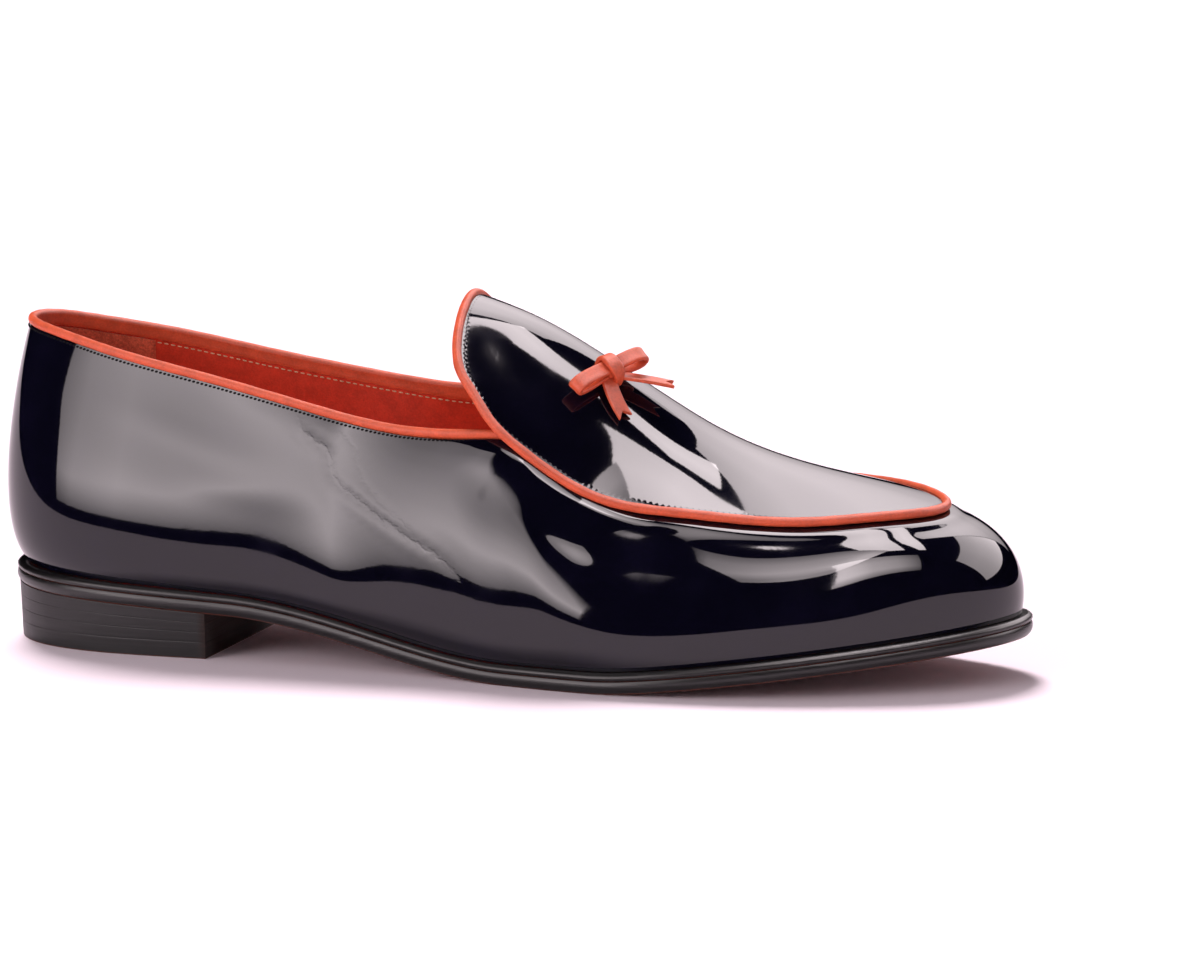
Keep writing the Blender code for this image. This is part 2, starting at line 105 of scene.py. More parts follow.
# Upper
UPPER_WALL = 2.0
FEATHER = (  # x, how far the upper's foot stands inside the sole's edge
    (0, 3.2),
    (40, 2.7),
    (85, 1.9),
    (130, 1.5),
    (165, 2.0),
    (205, 3.1),
    (250, 3.2),
    (300, 3.2),
)
WALL_SHAPE = (  # x, lean out (medial, lateral), pull of the foot, of the top (both), fall
    (3, 47, 47, 0.175, 0.455, 0.455, 75),
    (34, 36, 36, 0.18, 0.44, 0.44, 78),
    (72, 36, 36, 0.15, 0.46, 0.48, 80),
    (105, 36, 38, 0.14, 0.44, 0.44, 82),
    (130, 33, 38, 0.15, 0.42, 0.31, 83),
    (150, 29, 39, 0.13, 0.40, 0.185, 80),
    (170, 24, 31, 0.14, 0.40, 0.23, 76),
    (190, 18, 20, 0.22, 0.41, 0.38, 70),
    (230, 14, 14, 0.34, 0.43, 0.43, 60),
    (265, 12, 12, 0.37, 0.46, 0.46, 50),
    (297, 10, 10, 0.40, 0.50, 0.50, 50),
)
SIDE_BLEND = 12.0
COLLAR = (  # x, half width and height of the top line, medial and then lateral
    (12, 14.3, 92.0, 14.3, 92.3),
    (34, 24.0, 87.8, 23.0, 87.9),
    (66, 28.0, 81.8, 26.0, 81.3),
    (97, 30.8, 76.4, 28.4, 74.7),
    (128, 33.2, 72.7, 30.8, 69.4),
    (146, 34.6, 72.4, 32.4, 69.4),
)
COLLAR_BLEND = 20.0
COLLAR_BACK_X = 3.9
COLLAR_BACK_Z = 93.6
COLLAR_BACK_RADIUS = 17.0
COLLAR_AHEAD_X = 200.0
COLLAR_AHEAD_MEDIAL = 72.0
COLLAR_AHEAD_LATERAL = 69.0
BEAD = 1.35
BINDING_END_X = 153.0

# Apron
CREST = (  # x, y and height of the crest, steepness of its sides, radius at the top
    (138, 2.0, 103.6, 0.80, 13.0),
    (156, 2.5, 97.4, 1.07, 13.5),
    (176, 3.5, 86.8, 1.20, 14.0),
    (192, 4.5, 77.0, 1.08, 14.0),
    (208, 6.0, 67.5, 0.80, 14.0),
    (226, 8.0, 60.0, 0.60, 15.0),
    (246, 10.0, 55.0, 0.47, 17.0),
    (264, 11.0, 51.3, 0.34, 20.0),
    (280, 11.0, 47.6, 0.28, 24.0),
)
CREST_FROM = 100.0
APRON_BACK = 138.5
APRON_TOE = 275.6
APRON_BACK_RADIUS = 120.0
APRON_TOE_RADIUS = 12.0
APRON_WIDTHS = (  # x, medial and lateral half widths of the seam
    (141, 23.0, 21.5),
    (146, 31.0, 28.4),
    (153, 34.8, 32.2),
    (162, 36.2, 33.6),
    (180, 36.0, 32.8),
    (205, 34.2, 29.5),
    (235, 30.4, 23.5),
    (260, 23.5, 14.3),
)
APRON_WALL = 1.5
PIPING_RISE = -0.2
LAP = 2.8
JUNCTION_X = 155.0
JUNCTION_BLEND = 4.0
FALL_FROM = 104.0
FALL_TO = 164.0
LAP_TOE_RADIUS = 10.0

# Bow
BOW_X = 179.6
BOW_Y = -4.7
BOW_LIFT = 0.9
BOW_TURN = 33.0
KNOT = (4.8, 7.0, 5.6)
KNOT_ROLL = 5.0
KNOT_TURN = 4.0
KNOT_INSIDE = (0.5, 0.6, 0.5)  # how far the core lies inside the knot's size
WRAP_WIDTH = 4.2
WRAP_FROM = 215  # degrees round the knot, and the sweep over it
WRAP_SWEEP = 265
LOOP_FROM = 2.0
LOOP_MIDDLE = 3.0
LOOPS = (  # name, side, reach, parting of the strands, roll up and turn to the toe
    ("loop_near", -1, 12.0, 2.1, 4.0, 14.0),
    ("loop_far", 1, 9.6, 2.5, 6.5, 3.0),
)
TAILS = (  # name, start along the loops, tip x, y and lift, sag, arch, twist in degrees
    ("tail_near", -1.6, 187.4, -12.4, 1.2, -1.5, 0.5, 0.0),
    ("tail_far", 1.6, 194.9, 1.0, 6.3, 0.0, 0.6, 28.0),
)
TAIL_START = 1.6
TAIL_INSIDE = 1.2
TAIL_NOTCH = 0.16  # depth of the fork as a share of the tail
TAIL_THICKNESS = 0.85  # as a share of the loops' thickness

# Creases of the lateral quarter, where the foot bends it
CREASES = (  # depth, half width, swelling beside it, points (x, z) from the collar down
    (0.030, 1.1, 0.016, ((95, 73), (99, 65.5), (106, 60), (107, 55), (111, 51), (116, 48), (123, 44),
                         (135, 38), (143, 34), (150, 28), (161, 21.5))),
    (0.016, 0.9, 0.009, ((107.5, 67), (114, 61.6), (115, 58), (119, 51.5), (125, 47), (132, 42),
                         (138, 38.5))),
)
CREASE_FAR = 6.0  # beyond this distance from its line a crease no longer shows
CREASE_ENDS = (0.12, 0.45)  # shares of a crease over which it fades, at the collar and at its lower end
CREASE_LINE = 0.55  # half width of a crease's sharp line
CREASE_CUT = 1.1e-5  # depth of the sharp line, m
LATERAL = (4, 14)  # distances from the foot's axis over which creases and folds set in
WAVES = 0.025  # height of the long low waves of the wall
FOLDS = (  # height, half width, points (x, z) of soft swellings of the lateral quarter
    (0.9, 16.0, ((78, 22), (110, 21), (130, 19), (150, 15), (180, 11))),
    (0.15, 12.0, ((36, 52), (60, 54), (85, 52), (105, 50), (122, 46))),
    (0.15, 5.0, ((22, 76), (48, 68), (72, 60), (96, 52))),
    (0.09, 5.0, ((52, 60), (66, 52), (92, 47), (108, 43))),
)

# Vamp beside the piping: a rolled edge, and a steeper stand beside the throat
ROLL_HEIGHT = 0.62
ROLL_AT = 5.9  # below the top edge
ROLL_WIDTH = 2.8
ROLL_X = (181, 200)
LEAN_HEIGHT = 1.2  # out under the piping, in further down
LEAN_OUT = (5.0, 5.5)  # distance below the top edge and half width
LEAN_IN = (19.5, 7.0)
LEAN_DEPTH = 0.7  # depth further down as a share of the height
LEAN_X = (140, 156, 182, 202)  # sets in over the first two, ends over the last two
LEAN_SLANT = (128, 150)  # it starts along a slanting line, further forward lower down
SLANT = 0.8

# Linings, binding and seams
PATENT_DEPTH = 1.0  # of the patent layer, with the lining behind it
LINING_SLACK = 0.12
GRIP_X = 32.0  # front edges of the suede patch
GRIP_DEPTH = 0.45
GRIP_FOOT = 0.03  # its lower edge as a share of the wall's height
BINDING_REACH = 157.5  # its ends run on under the piping
BAND = 1.3  # height of the binding's inner band
BAND_FACE = 0.45
BAND_LIP = 0.25  # where the band's lower edge is pared
BEAD_ARC = (205, -65)  # degrees over which the bead is round
BEAD_UNEVEN = 0.02  # how uneven the beads are, as a share of their radius
SPLICE_X = 162.0
SPLICE_WIDTH = 0.8
SPLICE_DEPTH = 0.22  # as a share of the bead's radius
SEAM_DIP = 0.2
SEAM_WIDTH = 1.1
APRON_PATENT = 0.75  # thickness of the apron's patent layer
APRON_EDGE = 0.7  # from the seam to the edge of the patent

# Stitches: shares of the thread's pitch and radius, and distances from what they follow
STITCH = 0.7
BINDING_PITCH = 0.65
BINDING_STITCH = 0.5
BINDING_THREAD = 1.35
BINDING_SLANT = 20.0
APRON_PITCH = 0.85
LIGHT_THREAD = 0.9
SEAM_TO_STITCHES = 0.75
BAND_TO_STITCHES = 0.9
GRIP_TO_STITCHES = 1.5


def spline(xs, ys):
    """Natural cubic curve through the points, as a function of x."""
    xs = np.asarray(xs, float)
    ys = np.asarray(ys, float)
    count = len(xs)
    step = np.diff(xs)
    matrix = np.eye(count)
    for i in range(1, count - 1):
        matrix[i, i - 1:i + 2] = step[i - 1], 2 * (step[i - 1] + step[i]), step[i]
    bend = np.linalg.solve(matrix, np.r_[0, 6 * np.diff(np.diff(ys) / step), 0])

    def curve(x):
        x = np.asarray(x, float)
        i = np.clip(np.searchsorted(xs, x) - 1, 0, count - 2)
        after = x - xs[i]
        before = xs[i + 1] - x
        cubic = (bend[i] * before**3 + bend[i + 1] * after**3) / (6 * step[i])
        first = (ys[i] / step[i] - bend[i] * step[i] / 6) * before
        second = (ys[i + 1] / step[i] - bend[i + 1] * step[i] / 6) * after
        return cubic + first + second

    return curve


def columns(table):
    """Curves over the first column of a table, one for each other column."""
    values = np.array(table, float)
    return [spline(values[:, 0], values[:, i]) for i in range(1, values.shape[1])]


def unit(v):
    return v / np.linalg.norm(v, axis=-1, keepdims=True)


def bell(way):
    return np.exp(-way ** 2)


def smooth_step(x, start, end):
    t = np.clip((x - start) / (end - start), 0, 1)
    return t * t * (3 - 2 * t)


def way_along(points):
    """Distance of each point of a line from its start, along the line."""
    return np.r_[0, np.cumsum(np.linalg.norm(np.diff(points, axis=0), axis=1))]


def axis_y(x):
    """The foot's axis: straight from the heel, then drifting inwards with the square of the way."""
    t = np.clip((np.asarray(x, float) - DRIFT_FROM) / (SOLE_LENGTH - DRIFT_FROM), 0, None)
    return TOE_DRIFT * t * t


class Plan:
    """Closed plan outline: x is a cosine of the angle, y a sine times a fullness that follows a table."""

    def __init__(self, back, toe, back_radius, toe_radius, widths):
        table = np.array(widths, float)
        xs = table[:, 0]
        self.mid = (back + toe) / 2
        self.half = (toe - back) / 2
        share = np.sqrt(1 - ((xs - self.mid) / self.half) ** 2)
        ends = np.sqrt(np.array((back_radius, toe_radius)) * self.half)
        self.fullness = []
        for column, sign in ((1, 1), (2, -1)):
            full = (table[:, column] - sign * axis_y(xs)) / share
            self.fullness.append(spline(np.r_[back, xs, toe], np.r_[ends[0], full, ends[1]]))

    def at(self, angle):
        """Plan points at the angles, 0 at the toe, medial side first."""
        x = self.mid + self.half * np.cos(angle)
        s = np.sin(angle)
        return x, axis_y(x) + s * np.where(s >= 0, self.fullness[0](x), self.fullness[1](x))

    def outward(self, angle):
        """Outward plan normals at the angles."""
        small = 1e-4
        x1, y1 = self.at(angle + small)
        x0, y0 = self.at(angle - small)
        length = np.hypot(x1 - x0, y1 - y0)
        return (y1 - y0) / length, -(x1 - x0) / length

    def inset(self, angle, distance):
        """Plan points moved inwards along the normals."""
        x, y = self.at(angle)
        nx, ny = self.outward(angle)
        return x - distance * nx, y - distance * ny

    def angle_at(self, x):
        """Angle of the medial plan point at x."""
        return np.arccos((x - self.mid) / self.half)

    def even_angles(self, count, start=0.0, end=None):
        """Angles whose plan points are the same distance apart, from start to end, or else once round."""
        angle = np.linspace(start, start + TURN if end is None else end, 4001)
        travel = way_along(np.stack(self.at(angle), -1))
        return np.interp(np.linspace(0, travel[-1], count, endpoint=end is not None), travel, angle)


sole_plan = Plan(0, SOLE_LENGTH, HEEL_RADIUS, TOE_RADIUS, SOLE_WIDTHS)
apron_plan = Plan(APRON_BACK, APRON_TOE, APRON_BACK_RADIUS, APRON_TOE_RADIUS, APRON_WIDTHS)
collar_widths = [(x, medial, lateral) for x, medial, _, lateral, _ in COLLAR]
lap_widths = [(x, medial - LAP, lateral - LAP) for x, medial, lateral in APRON_WIDTHS if x > JUNCTION_X]
top_widths = collar_widths + lap_widths
top_plan = Plan(COLLAR_BACK_X, APRON_TOE - LAP, COLLAR_BACK_RADIUS, LAP_TOE_RADIUS, top_widths)
crest_y, crest_z, crest_steepness, crest_radius = columns(CREST)
lean_medial, lean_lateral, foot_pull, pull_medial, pull_lateral, collar_fall = columns(WALL_SHAPE)
feather_inset = columns(FEATHER)[0]


def under_z(x):
    """Underside of the sole: a sloping heel seat, a cubic arch, a flat tread and a hyperbolic toe spring."""
    x = np.asarray(x, float)
    slope = (SEAT_BACK - SEAT_BREAST) / BREAST_X
    reach = FLAT_FROM - WAIST_FROM
    t = np.clip((FLAT_FROM - x) / reach, 0, 1)
    arch_top = SEAT_BACK - slope * WAIST_FROM
    arch = arch_top * (3 * t**2 - 2 * t**3) + slope * reach * (t**3 - t**2)
    past = np.clip(x - FLAT_TO, 0, None)
    spring = SPRING_SLOPE * (np.hypot(past, SPRING_EASE) - SPRING_EASE)
    return np.where(x < WAIST_FROM, SEAT_BACK - slope * x, arch + spring)


def top_z(x):
    """Upper face of the sole, where the upper and the insole stand."""
    return under_z(x) + OUTSOLE + GAP + MIDSOLE


def apron_z(x, y):
    """The apron's face: a crest line with sides that fall as a hyperbola does."""
    x = np.maximum(x, CREST_FROM)
    across = y - crest_y(x)
    radius = crest_radius(x)
    return crest_z(x) - crest_steepness(x) * (np.hypot(across, radius) - radius)


def apron_slopes(x, y):
    small = 0.05
    along = (apron_z(x + small, y) - apron_z(x - small, y)) / (2 * small)
    across = (apron_z(x, y + small) - apron_z(x, y - small)) / (2 * small)
    return along, across


def apron_normal(x, y):
    along, across = apron_slopes(x, y)
    return unit(np.stack([-along, -across, np.ones_like(along)], -1))


def on_apron(x, y, lift=0.0):
    """Points at a distance from the apron's face along its normals."""
    lift = np.asarray(lift, float)[..., None]
    return np.stack([x, y, apron_z(x, y)], -1) + lift * apron_normal(x, y)


def collar_z(x, medial_share):
    """Height of the top line, carried on under the apron."""
    table = np.array(COLLAR, float)
    xs = np.r_[COLLAR_BACK_X, table[:, 0], COLLAR_AHEAD_X]
    medial = spline(xs, np.r_[COLLAR_BACK_Z, table[:, 2], COLLAR_AHEAD_MEDIAL])(x)
    lateral = spline(xs, np.r_[COLLAR_BACK_Z, table[:, 4], COLLAR_AHEAD_LATERAL])(x)
    return medial * medial_share + lateral * (1 - medial_share)


def smooth_min(a, b, blend):
    share = np.clip(0.5 + 0.5 * (b - a) / blend, 0, 1)
    return b * (1 - share) + a * share - blend * share * (1 - share)


def top_edge(angle):
    """The upper's own top edge: just under the binding at the collar, and under the apron at the vamp."""
    x, y = top_plan.at(angle)
    along, across = apron_slopes(x, y)
    under_apron = apron_z(x, y) - (APRON_WALL + GAP) * np.sqrt(1 + along**2 + across**2)
    collar = collar_z(x, smooth_step(y, -COLLAR_BLEND, COLLAR_BLEND)) - 2 * BEAD - GAP
    return np.stack([x, y, smooth_min(collar, under_apron, JUNCTION_BLEND)], -1)


def wall_corners(angle):
    """Corners of the cubic curves that rise from the sole to the top edge, one curve for each angle.

    A curve leaves the sole with an outward lean, and meets the edge with the collar's or the apron's fall.
    """
    fx, fy = sole_plan.inset(angle, feather_inset(sole_plan.at(angle)[0]))
    foot = np.stack([fx, fy, top_z(fx) + GAP], -1)
    top = top_edge(angle)
    up = np.array((0, 0, 1.0))
    foot_out = np.stack([*sole_plan.outward(angle), 0 * fx], -1)
    top_out = np.stack([*top_plan.outward(angle), 0 * fx], -1)
    medial_share = 0.5 + 0.5 * np.tanh(fy / SIDE_BLEND)
    lean = np.radians(lean_medial(fx) * medial_share + lean_lateral(fx) * (1 - medial_share))
    top_pull = pull_medial(fx) * medial_share + pull_lateral(fx) * (1 - medial_share)
    along, across = apron_slopes(top[:, 0], top[:, 1])
    apron_fall = np.arctan(-along * top_out[:, 0] - across * top_out[:, 1])
    ahead = smooth_step(top[:, 0], FALL_FROM, FALL_TO)
    fall = np.radians(collar_fall(fx)) * (1 - ahead) + apron_fall * ahead
    chord = np.linalg.norm(top - foot, axis=1)
    foot_way = foot_out * np.sin(lean)[:, None] + up * np.cos(lean)[:, None]
    top_way = top_out * np.cos(fall)[:, None] - up * np.sin(fall)[:, None]
    return np.stack([foot, foot + foot_way * (chord * foot_pull(fx))[:, None],
                     top + top_way * (chord * top_pull)[:, None], top], 1)


def curve_points(corners, share):
    """Points of cubic curves at shares of their length, the same for each curve or a row for each."""
    share = np.broadcast_to(share, (len(corners), np.shape(share)[-1]))
    rest = 1 - share
    weights = np.stack([rest**3, 3 * share * rest**2, 3 * share**2 * rest, share**3], -1)
    return np.einsum("ask,akc->asc", weights, corners)


def wall(angle, share, depth=0.0):
    """Points of the upper's wall at a depth inside its outer face, and the outward normals.

    The normal is the way along the wall crossed with the way up it.
    """
    small = 1e-4
    corners = wall_corners(angle)
    ahead = curve_points(wall_corners(angle + small), share)
    along = ahead - curve_points(wall_corners(angle - small), share)
    up = curve_points(corners, share + small) - curve_points(corners, share - small)
    normal = unit(np.cross(along, up))
    return curve_points(corners, share) - np.asarray(depth, float)[..., None] * normal, normal


def below_top(angle, distance):
    """Shares of the wall's curves at distances below the top edge, a row of distances for each angle."""
    corners = wall_corners(angle)
    speed = 3 * np.linalg.norm(corners[:, 3] - corners[:, 2], axis=1)
    return 1 - np.atleast_1d(distance) / speed[:, None]


def near_path(x, z, points):
    """Distance of places from a smooth line through the points, signed by side, and their share of it."""
    way = np.array(points, float)
    travel = way_along(way)
    at = np.linspace(0, travel[-1], 80)
    line = np.stack([spline(travel, way[:, 0])(at), spline(travel, way[:, 1])(at)], -1)
    step = np.gradient(line, axis=0)
    offset = np.stack([x, z], -1)[..., None, :] - line
    nearest = np.hypot(offset[..., 0], offset[..., 1]).argmin(-1)
    close = np.take_along_axis(offset, nearest[..., None, None], -2)[..., 0, :]
    way_on = unit(step)[nearest]
    side = way_on[..., 0] * close[..., 1] - way_on[..., 1] * close[..., 0]
    along = at[nearest] + (way_on * close).sum(-1)
    share = np.clip(along / at[-1], 0, 1)
    return np.where(side < 0, -1, 1) * np.hypot(side, along - share * at[-1]), share


def crease_places(points):
    """For each crease, the points' distance from its line and its strength, fading towards both ends."""
    x, y, z = np.moveaxis(points, -1, 0)
    lateral = smooth_step(axis_y(x) - y, *LATERAL)
    places = []
    for _, _, _, way in CREASES:
        side, share = near_path(x, z, way)
        fade = smooth_step(share, 0, CREASE_ENDS[0]) * smooth_step(1 - share, 0, CREASE_ENDS[1]) * lateral
        places.append((np.clip(side, -CREASE_FAR, CREASE_FAR), fade))
    return places


def quarter_relief(points):
    """Height of the creases and soft folds on the lateral quarter.

    A crease is a bell-shaped trough along a line, made ragged by sines, with a bell-shaped swelling on both
    sides; a fold is a wide bell. All fade towards the ends of their lines. Long low waves run over the wall.
    """
    x, y, z = np.moveaxis(points, -1, 0)
    relief = np.zeros_like(x)
    for (depth, width, swelling, _), (side, fade) in zip(CREASES, crease_places(points)):
        side = side + 0.35 * np.sin(x * 1.9 + z * 0.7) + 0.25 * np.sin(x * 0.8 - z * 2.3)
        swell = swelling * bell((np.abs(side) - 2.4 * width) / (1.5 * width))
        relief += fade * (swell - depth * bell(side / width))
    for height, width, way in FOLDS:
        side, share = near_path(x, z, way)
        relief += height * np.sin(np.pi * share) ** 2 * bell(side / width)
    relief *= smooth_step(axis_y(x) - y, *LATERAL)
    return relief + WAVES * np.sin(x / 5.1 + z / 9.0) * np.sin(z / 6.3 - x / 17.0 + 1.0)


def to_world(points):
    return (points - MIDDLE) * MM


def grid_quads(rows, across, wrap_rows):
    """Corner indices of the quads of a grid that closes across, and the same unwrapped for its UV map."""
    i, j = np.indices((rows if wrap_rows else rows - 1, across))
    corners = [(i, j), (i + 1, j), (i + 1, j + 1), (i, j + 1)]
    quads = np.stack([a % rows * across + b % across for a, b in corners], -1).reshape(-1, 4)
    flat = np.stack([np.stack(c, -1) for c in corners], -2).reshape(-1, 4, 2)
    return quads, flat


def facing_out(points, quads, flat):
    """Quads and their UV places, turned round if the volume that they close comes out below zero."""
    a, b, c, d = (points[quads[:, k]] - points.mean(0) for k in range(4))
    turned = np.sum(a * (np.cross(b, c) + np.cross(c, d))) < 0
    return (quads[:, ::-1], flat[:, ::-1]) if turned else (quads, flat)


def grid_part(points, wrap_rows=False, **masks):
    """A closed grid of points with its quads facing outwards, and masks for each point."""
    rows, across = points.shape[:2]
    points = points.reshape(-1, 3)
    quads, flat = facing_out(points, *grid_quads(rows, across, wrap_rows))
    uv = flat / (rows - 1 + wrap_rows, across)
    masks = {key: np.broadcast_to(value, (rows, across)).ravel() for key, value in masks.items()}
    return {"points": points, "quads": quads, "uv": uv, "masks": masks}


def sheet_part(front, back, wrap_rows=False, **masks):
    """A closed sheet from the grids of its two faces, the second running back across."""
    return grid_part(np.concatenate([front, back], 1), wrap_rows, **masks)


def repeat_part(points):
    """Copies of a small closed grid, points [copy, row, across], with collapsed end rows."""
    count, rows, across = points.shape[:3]
    quads, flat = facing_out(points[0].reshape(-1, 3), *grid_quads(rows, across, False))
    offsets = np.arange(count)[:, None, None] * rows * across
    uv = np.tile(flat / (rows - 1, across), (count, 1, 1))
    return {"points": points.reshape(-1, 3), "quads": (quads + offsets).reshape(-1, 4), "uv": uv, "masks": {}}


def add_object(name, data):
    """A new object of the scene."""
    made = bpy.data.objects.new(name, data)
    bpy.context.scene.collection.objects.link(made)
    return made


def add_piece(name, parts, finish, replaces=()):
    """One mesh object from grid parts, with poles and seams merged, riding on the shoe."""
    parts = parts if isinstance(parts, list) else [parts]
    starts = np.cumsum([0] + [len(p["points"]) for p in parts])
    points = to_world(np.concatenate([p["points"] for p in parts]))
    quads = np.concatenate([p["quads"] + start for p, start in zip(parts, starts)])
    uv = np.concatenate([p["uv"] for p in parts])
    mesh = bpy.data.meshes.new(name)
    mesh.vertices.add(len(points))
    mesh.vertices.foreach_set("co", points.astype(np.float32).ravel())
    mesh.loops.add(quads.size)
    mesh.loops.foreach_set("vertex_index", quads.astype(np.int32).ravel())
    mesh.polygons.add(len(quads))
    mesh.polygons.foreach_set("loop_start", np.arange(0, quads.size, 4, dtype=np.int32))
    mesh.update(calc_edges=True)
    mesh.uv_layers.new(name="UVMap").data.foreach_set("uv", uv.astype(np.float32).ravel())
    for key in parts[0]["masks"]:
        values = np.concatenate([p["masks"][key] for p in parts]).astype(np.float32)
        mesh.attributes.new(key, "FLOAT", "POINT").data.foreach_set("value", values)
    work = bmesh.new()
    work.from_mesh(mesh)
    bmesh.ops.remove_doubles(work, verts=work.verts, dist=1e-6)
    bmesh.ops.dissolve_degenerate(work, edges=work.edges, dist=1e-7)
    work.to_mesh(mesh)
    work.free()
    mesh.shade_smooth()
    mesh.set_sharp_from_angle(angle=math.radians(SHARP_ANGLE))
    mesh.materials.append(finish)
    piece = add_object(name, mesh)
    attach(piece, "root")
    if replaces:
        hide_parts(*replaces)
    return piece


class Field:
    """A shader socket that can stand in sums and products; each adds its node to the tree."""

    def __init__(self, tree, socket=None):
        self.tree = tree
        self.socket = socket

    def node(self, kind, settings=None, inputs=None, output=0):
        """Any node: its settings first, then the values or links of its sockets; gives one output."""
        made = self.tree.nodes.new("ShaderNode" + kind)
        for key, value in (settings or {}).items():
            if key == "stops":
                while len(made.color_ramp.elements) < len(value):
                    made.color_ramp.elements.new(1.0)
                for element, (place, colour) in zip(made.color_ramp.elements, value):
                    element.position = place
                    element.color = (*colour, 1)
            else:
                setattr(made, key, value)
        for key, value in (inputs or {}).items():
            self.feed(made.inputs[key], value)
        return Field(self.tree, made.outputs[output])

    def feed(self, socket, value):
        if isinstance(value, Field):
            self.tree.links.new(value.socket, socket)
        else:
            socket.default_value = value

    def math(self, operation, first, second=0.0):
        return self.node("Math", {"operation": operation}, {0: first, 1: second})

    def __add__(self, other):
        return self.math("ADD", self, other)

    __radd__ = __add__

    def __sub__(self, other):
        return self.math("SUBTRACT", self, other)

    def __rsub__(self, other):
        return self.math("SUBTRACT", other, self)

    def __mul__(self, other):
        return self.math("MULTIPLY", self, other)

    __rmul__ = __mul__

    def between(self, low, high):
        """0 below low and 1 above high, smoothly."""
        settings = {"interpolation_type": "SMOOTHSTEP"}
        return self.node("MapRange", settings, {"Value": self, "From Min": low, "From Max": high})

    def mix(self, first, second):
        """The first colour where this is 0, and the second where it is 1."""
        return self.node("Mix", {"data_type": "RGBA"}, {0: self, 6: first, 7: second}, 2)

    def noise(self, scale, detail=2.0, roughness=0.5, stretch=None):
        """Noise over the object's own place, with scale in cells a metre, drawn out by stretch."""
        place = self.node("TexCoord", output=3)
        if stretch:
            place = self.node("Mapping", inputs={"Vector": place, "Scale": stretch})
        sockets = {"Vector": place, "Scale": scale, "Detail": detail, "Roughness": roughness}
        return self.node("TexNoise", inputs=sockets)

    def tones(self, colour, dark, light):
        """A colour that this noise makes darker and lighter by two factors."""
        return self.between(0.3, 0.7).mix(shade(colour, dark), shade(colour, light))

    def mask(self, name):
        return self.node("Attribute", {"attribute_name": name}, output=2)

    def bump(self, height, distance, under=None):
        """A normal from a height, in metres for a height of 1, over another bump."""
        sockets = {"Height": height, "Distance": distance, "Strength": 1.0}
        if under:
            sockets["Normal"] = under
        return self.node("Bump", inputs=sockets)


def new_finish(name, **constants):
    """A material with constants on its shader's sockets, and the field and function that dress the rest."""
    finish = bpy.data.materials.new(name)
    finish.use_nodes = True
    shader = finish.node_tree.nodes["Principled BSDF"]
    for key, value in constants.items():
        shader.inputs[key.replace("_", " ")].default_value = value
    field = Field(finish.node_tree)

    def dress(**sockets):
        for key, value in sockets.items():
            field.feed(shader.inputs[key.replace("_", " ")], value)

    return finish, field, dress


def shade(colour, factor):
    """A colour with its channels multiplied, as RGBA."""
    return (*(min(1.0, channel * factor) for channel in colour), 1.0)


def patent_finish(name, colour, seam=None, creases=0):
    """Lacquered black leather: a mirror gloss over faint smudges, fine pebble, broad waves and crease lines.

    A crease line is a bell over the distance from it, which two noises make ragged.
    """
    finish, f, dress = new_finish(name, Specular_IOR_Level=0.5, IOR=1.5)
    smudge = f.noise(70, 3.0).between(0.45, 0.75)
    waves = f.bump(f.noise(45, 1.0), 3.0e-5)
    pebble = f.bump(f.noise(900, 1.5), 1.6e-6, waves)
    if seam:
        edge = 1 - f.mask("seam").between(0.6, 3.2)
        wave = f.math("SINE", f.mask("travel") * (TURN / seam))
        pebble = f.bump(wave * edge, 1.6e-5, pebble)
    ragged = f.noise(420, 1.0) * 2.6 + f.noise(1300, 1.0) * 1.1 - 1.85
    for k in range(creases):
        away = (f.mask(f"crease_{k}") + ragged) * (1 / CREASE_LINE)
        line = f.math("EXPONENT", away * away * -1.0) * f.mask(f"fade_{k}")
        pebble = f.bump(line, -CREASE_CUT, pebble)
    dress(Base_Color=smudge.mix(shade(colour, 1.0), shade(colour, 1.5)), Roughness=0.035 + smudge * 0.025,
          Normal=pebble)
    return finish


def leather_finish(name, colour, roughness, pore=1700):
    """Dyed calf leather: mottled colour, fine pores and a soft sheen."""
    finish, f, dress = new_finish(name, Specular_IOR_Level=0.3)
    mottle = f.noise(220, 4.0, 0.6)
    pores = f.noise(pore, 3.0, 0.6)
    wrinkles = f.noise(420, 2.0)
    normal = f.bump(pores, 5.0e-5, f.bump(wrinkles, 9.0e-5))
    tone = (mottle * 0.6 + pores * 0.4).between(0.32, 0.68)
    dress(Base_Color=tone.mix(shade(colour, 0.80), shade(colour, 1.12)),
          Roughness=roughness - 0.06 + pores * 0.14, Normal=normal)
    return finish


def suede_finish(name, colour):
    """Brushed nap: short fibres that stand at all angles, light and dark in small patches."""
    finish, f, dress = new_finish(name, Specular_IOR_Level=0.15, Sheen_Weight=0.1, Sheen_Roughness=0.5)
    nap = f.noise(1500, 4.0, 0.75)
    patch = f.noise(150, 3.0, 0.6)
    tone = (nap * 0.6 + patch * 0.4).between(0.30, 0.70)
    dress(Base_Color=tone.mix(shade(colour, 0.50), shade(colour, 1.30)), Roughness=0.86 + nap * 0.12,
          Normal=f.bump(nap, 2.2e-4))
    return finish


def sole_finish(name, black, brown):
    """Sole leather: the edge dyed black and waxed with fine drawn lines, the underside buffed brown."""
    finish, f, dress = new_finish(name, Specular_IOR_Level=0.5)
    drawn = f.noise(260, 3.0, 0.6, (0.16, 0.16, 6.0))
    fibre = f.noise(500, 4.0, 0.65, (0.35, 1.0, 1.0))
    dyed = f.mask("rim").between(0.06, 0.12)
    colour = dyed.mix(fibre.tones(brown, 0.75, 1.2), drawn.tones(black, 0.7, 1.6))
    dress(Base_Color=colour, Roughness=0.52 - dyed * 0.26 + drawn * 0.12,
          Normal=f.bump(drawn, 4.0e-5, f.bump(fibre, 2.0e-5)))
    return finish


